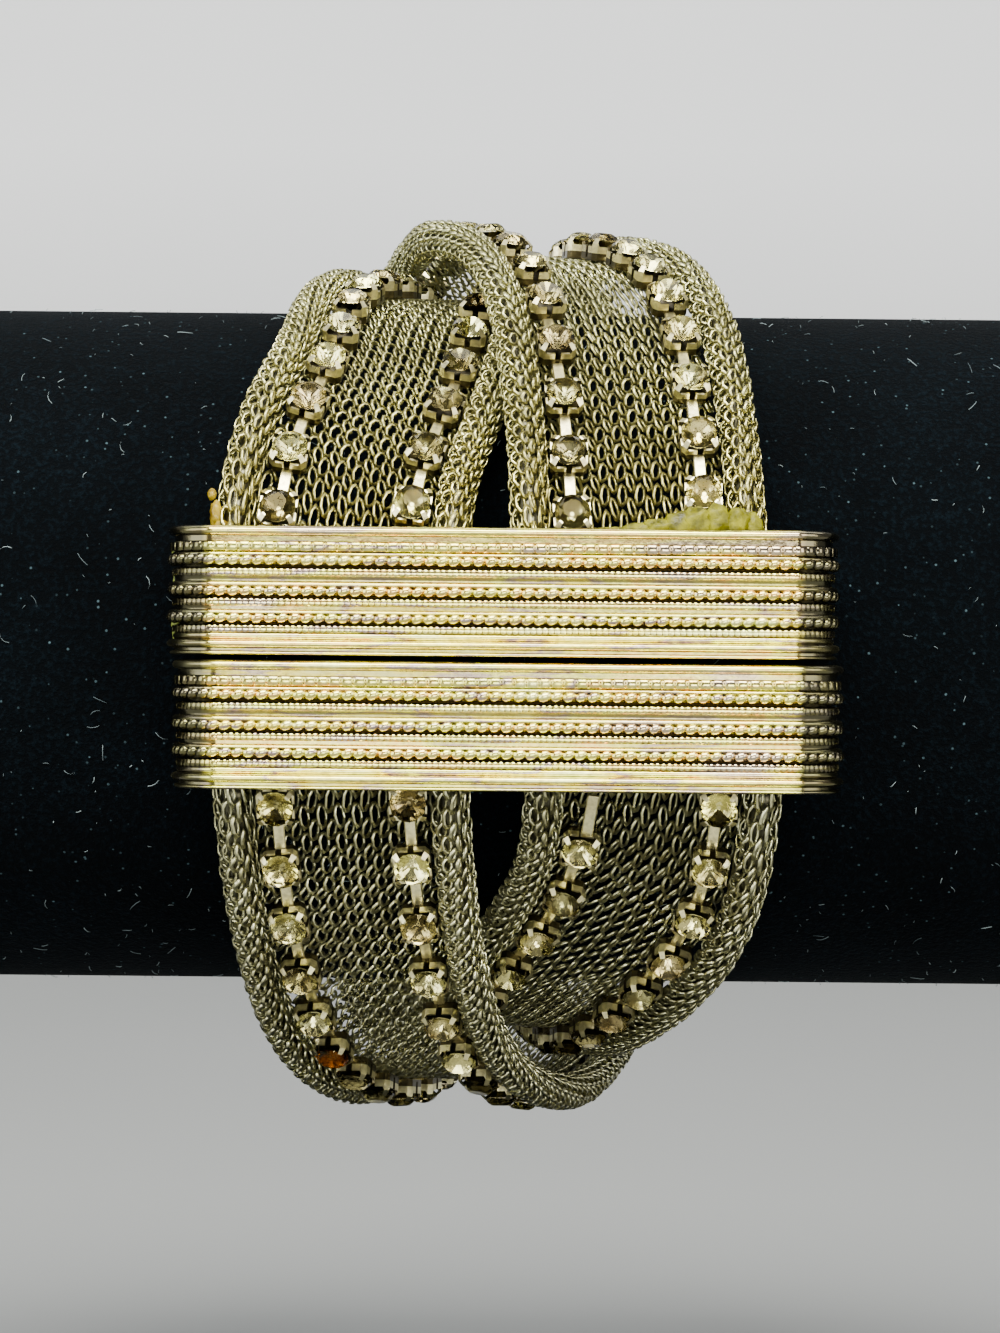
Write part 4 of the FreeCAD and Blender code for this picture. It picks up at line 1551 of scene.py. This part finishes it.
# Lights in metres, each aimed at its target, with its share of the key light's power
Light = namedtuple("Light", "name place target width height share colour")
MIDDLE = (0.0, 0.0, 0.066)
LIGHTS = [
    Light("key", (0.0, -0.32, 0.42), MIDDLE, 0.5, 0.22, 1.0, (1.0, 0.98, 0.94)),
    Light("left", (-0.5, -0.25, 0.2), MIDDLE, 0.3, 0.4, 0.3, (0.95, 0.97, 1.0)),
    Light("right", (0.5, -0.3, 0.16), MIDDLE, 0.25, 0.4, 0.25, (1.0, 0.96, 0.9)),
    Light("low", (0.05, -0.42, 0.03), (0.0, 0.0, 0.045), 0.4, 0.1, 0.2, (0.97, 1.0, 1.0)),
    Light("back", (0.0, 0.25, 0.7), (0.0, 0.7, 0.1), 1.2, 0.4, 0.8, (1.0, 1.0, 1.0)),
]


def area_light(light, key_power):
    data = bpy.data.lights.new(light.name, "AREA")
    data.shape = "RECTANGLE"
    data.size = light.width
    data.size_y = light.height
    data.energy = key_power * light.share
    data.color = light.colour
    lamp = link_object(light.name, data)
    lamp.location = light.place
    aim = Vector(light.target) - Vector(light.place)
    lamp.rotation_euler = aim.to_track_quat("-Z", "Y").to_euler()


class BRACELET_OT_stage(bpy.types.Operator):
    """Set the pale floor, the soft lights and the camera"""

    bl_idname = "bracelet.stage"
    bl_label = "Stage"

    # The camera's place beside and above the origin, and how far it is rolled
    CAMERA_SIDE = -0.000196
    CAMERA_HEIGHT = 0.06654
    ROLL = math.radians(0.55)

    def execute(self, context):
        settings = context.scene.bracelet_stage
        mesh = sweep_mesh()
        mesh.polygons.foreach_set("use_smooth", [True] * len(mesh.polygons))
        mesh.materials.append(stage_material())
        sweep = link_object("sweep", mesh)
        world = bpy.data.worlds.new("studio")
        world.use_nodes = True
        context.scene.world = world
        background = world.node_tree.nodes["Background"]
        background.inputs["Color"].default_value = (0.93, 0.95, 1.0, 1.0)
        background.inputs["Strength"].default_value = 0.3
        for light in LIGHTS:
            area_light(light, settings.key)
        data = bpy.data.cameras.new("camera")
        data.sensor_fit = "VERTICAL"
        data.sensor_height = 24.0
        data.lens = settings.lens
        data.clip_start = 0.01
        camera = link_object("camera", data)
        place = Matrix.Translation((self.CAMERA_SIDE, -settings.distance, self.CAMERA_HEIGHT))
        upright = Matrix.Rotation(math.pi / 2.0, 4, "X")
        camera.matrix_world = place @ upright @ Matrix.Rotation(self.ROLL, 4, "Z")
        context.scene.camera = camera
        return {"FINISHED"}


class BRACELET_PT_parts(bpy.types.Panel):
    """Bracelet parts and their settings"""

    bl_label = "Mesh Bracelet"
    bl_idname = "BRACELET_PT_parts"
    bl_space_type = "VIEW_3D"
    bl_region_type = "UI"
    bl_category = "Bracelet"

    def draw(self, context):
        scene = context.scene
        for operator, settings in STEPS:
            box = self.layout.box()
            box.operator(operator.bl_idname)
            if settings:
                group = getattr(scene, settings)
                for label in group.__annotations__:
                    box.prop(group, label)


STEPS = [
    (BRACELET_OT_mesh_bands, "bracelet_mesh"),
    (BRACELET_OT_cup_chains, "bracelet_chains"),
    (BRACELET_OT_clasp, "bracelet_clasp"),
    (BRACELET_OT_display, "bracelet_display"),
    (BRACELET_OT_glue, None),
    (BRACELET_OT_stage, "bracelet_stage"),
]
SETTINGS = {
    "bracelet_mesh": RingMeshSettings,
    "bracelet_chains": CupChainSettings,
    "bracelet_clasp": ClaspSettings,
    "bracelet_display": DisplaySettings,
    "bracelet_stage": StageSettings,
}
CLASSES = [*SETTINGS.values(), *(operator for operator, _ in STEPS), BRACELET_PT_parts]


def register():
    for kind in CLASSES:
        bpy.utils.register_class(kind)
    for name, kind in SETTINGS.items():
        setattr(bpy.types.Scene, name, PointerProperty(type=kind))


def unregister():
    for name in SETTINGS:
        delattr(bpy.types.Scene, name)
    for kind in reversed(CLASSES):
        bpy.utils.unregister_class(kind)


def main():
    register()
    bpy.ops.bracelet.mesh_bands()
    bpy.ops.bracelet.cup_chains()
    bpy.ops.bracelet.clasp()
    bpy.ops.bracelet.display()
    bpy.ops.bracelet.glue()
    bpy.ops.bracelet.stage()


if __name__ == "__main__":
    main()
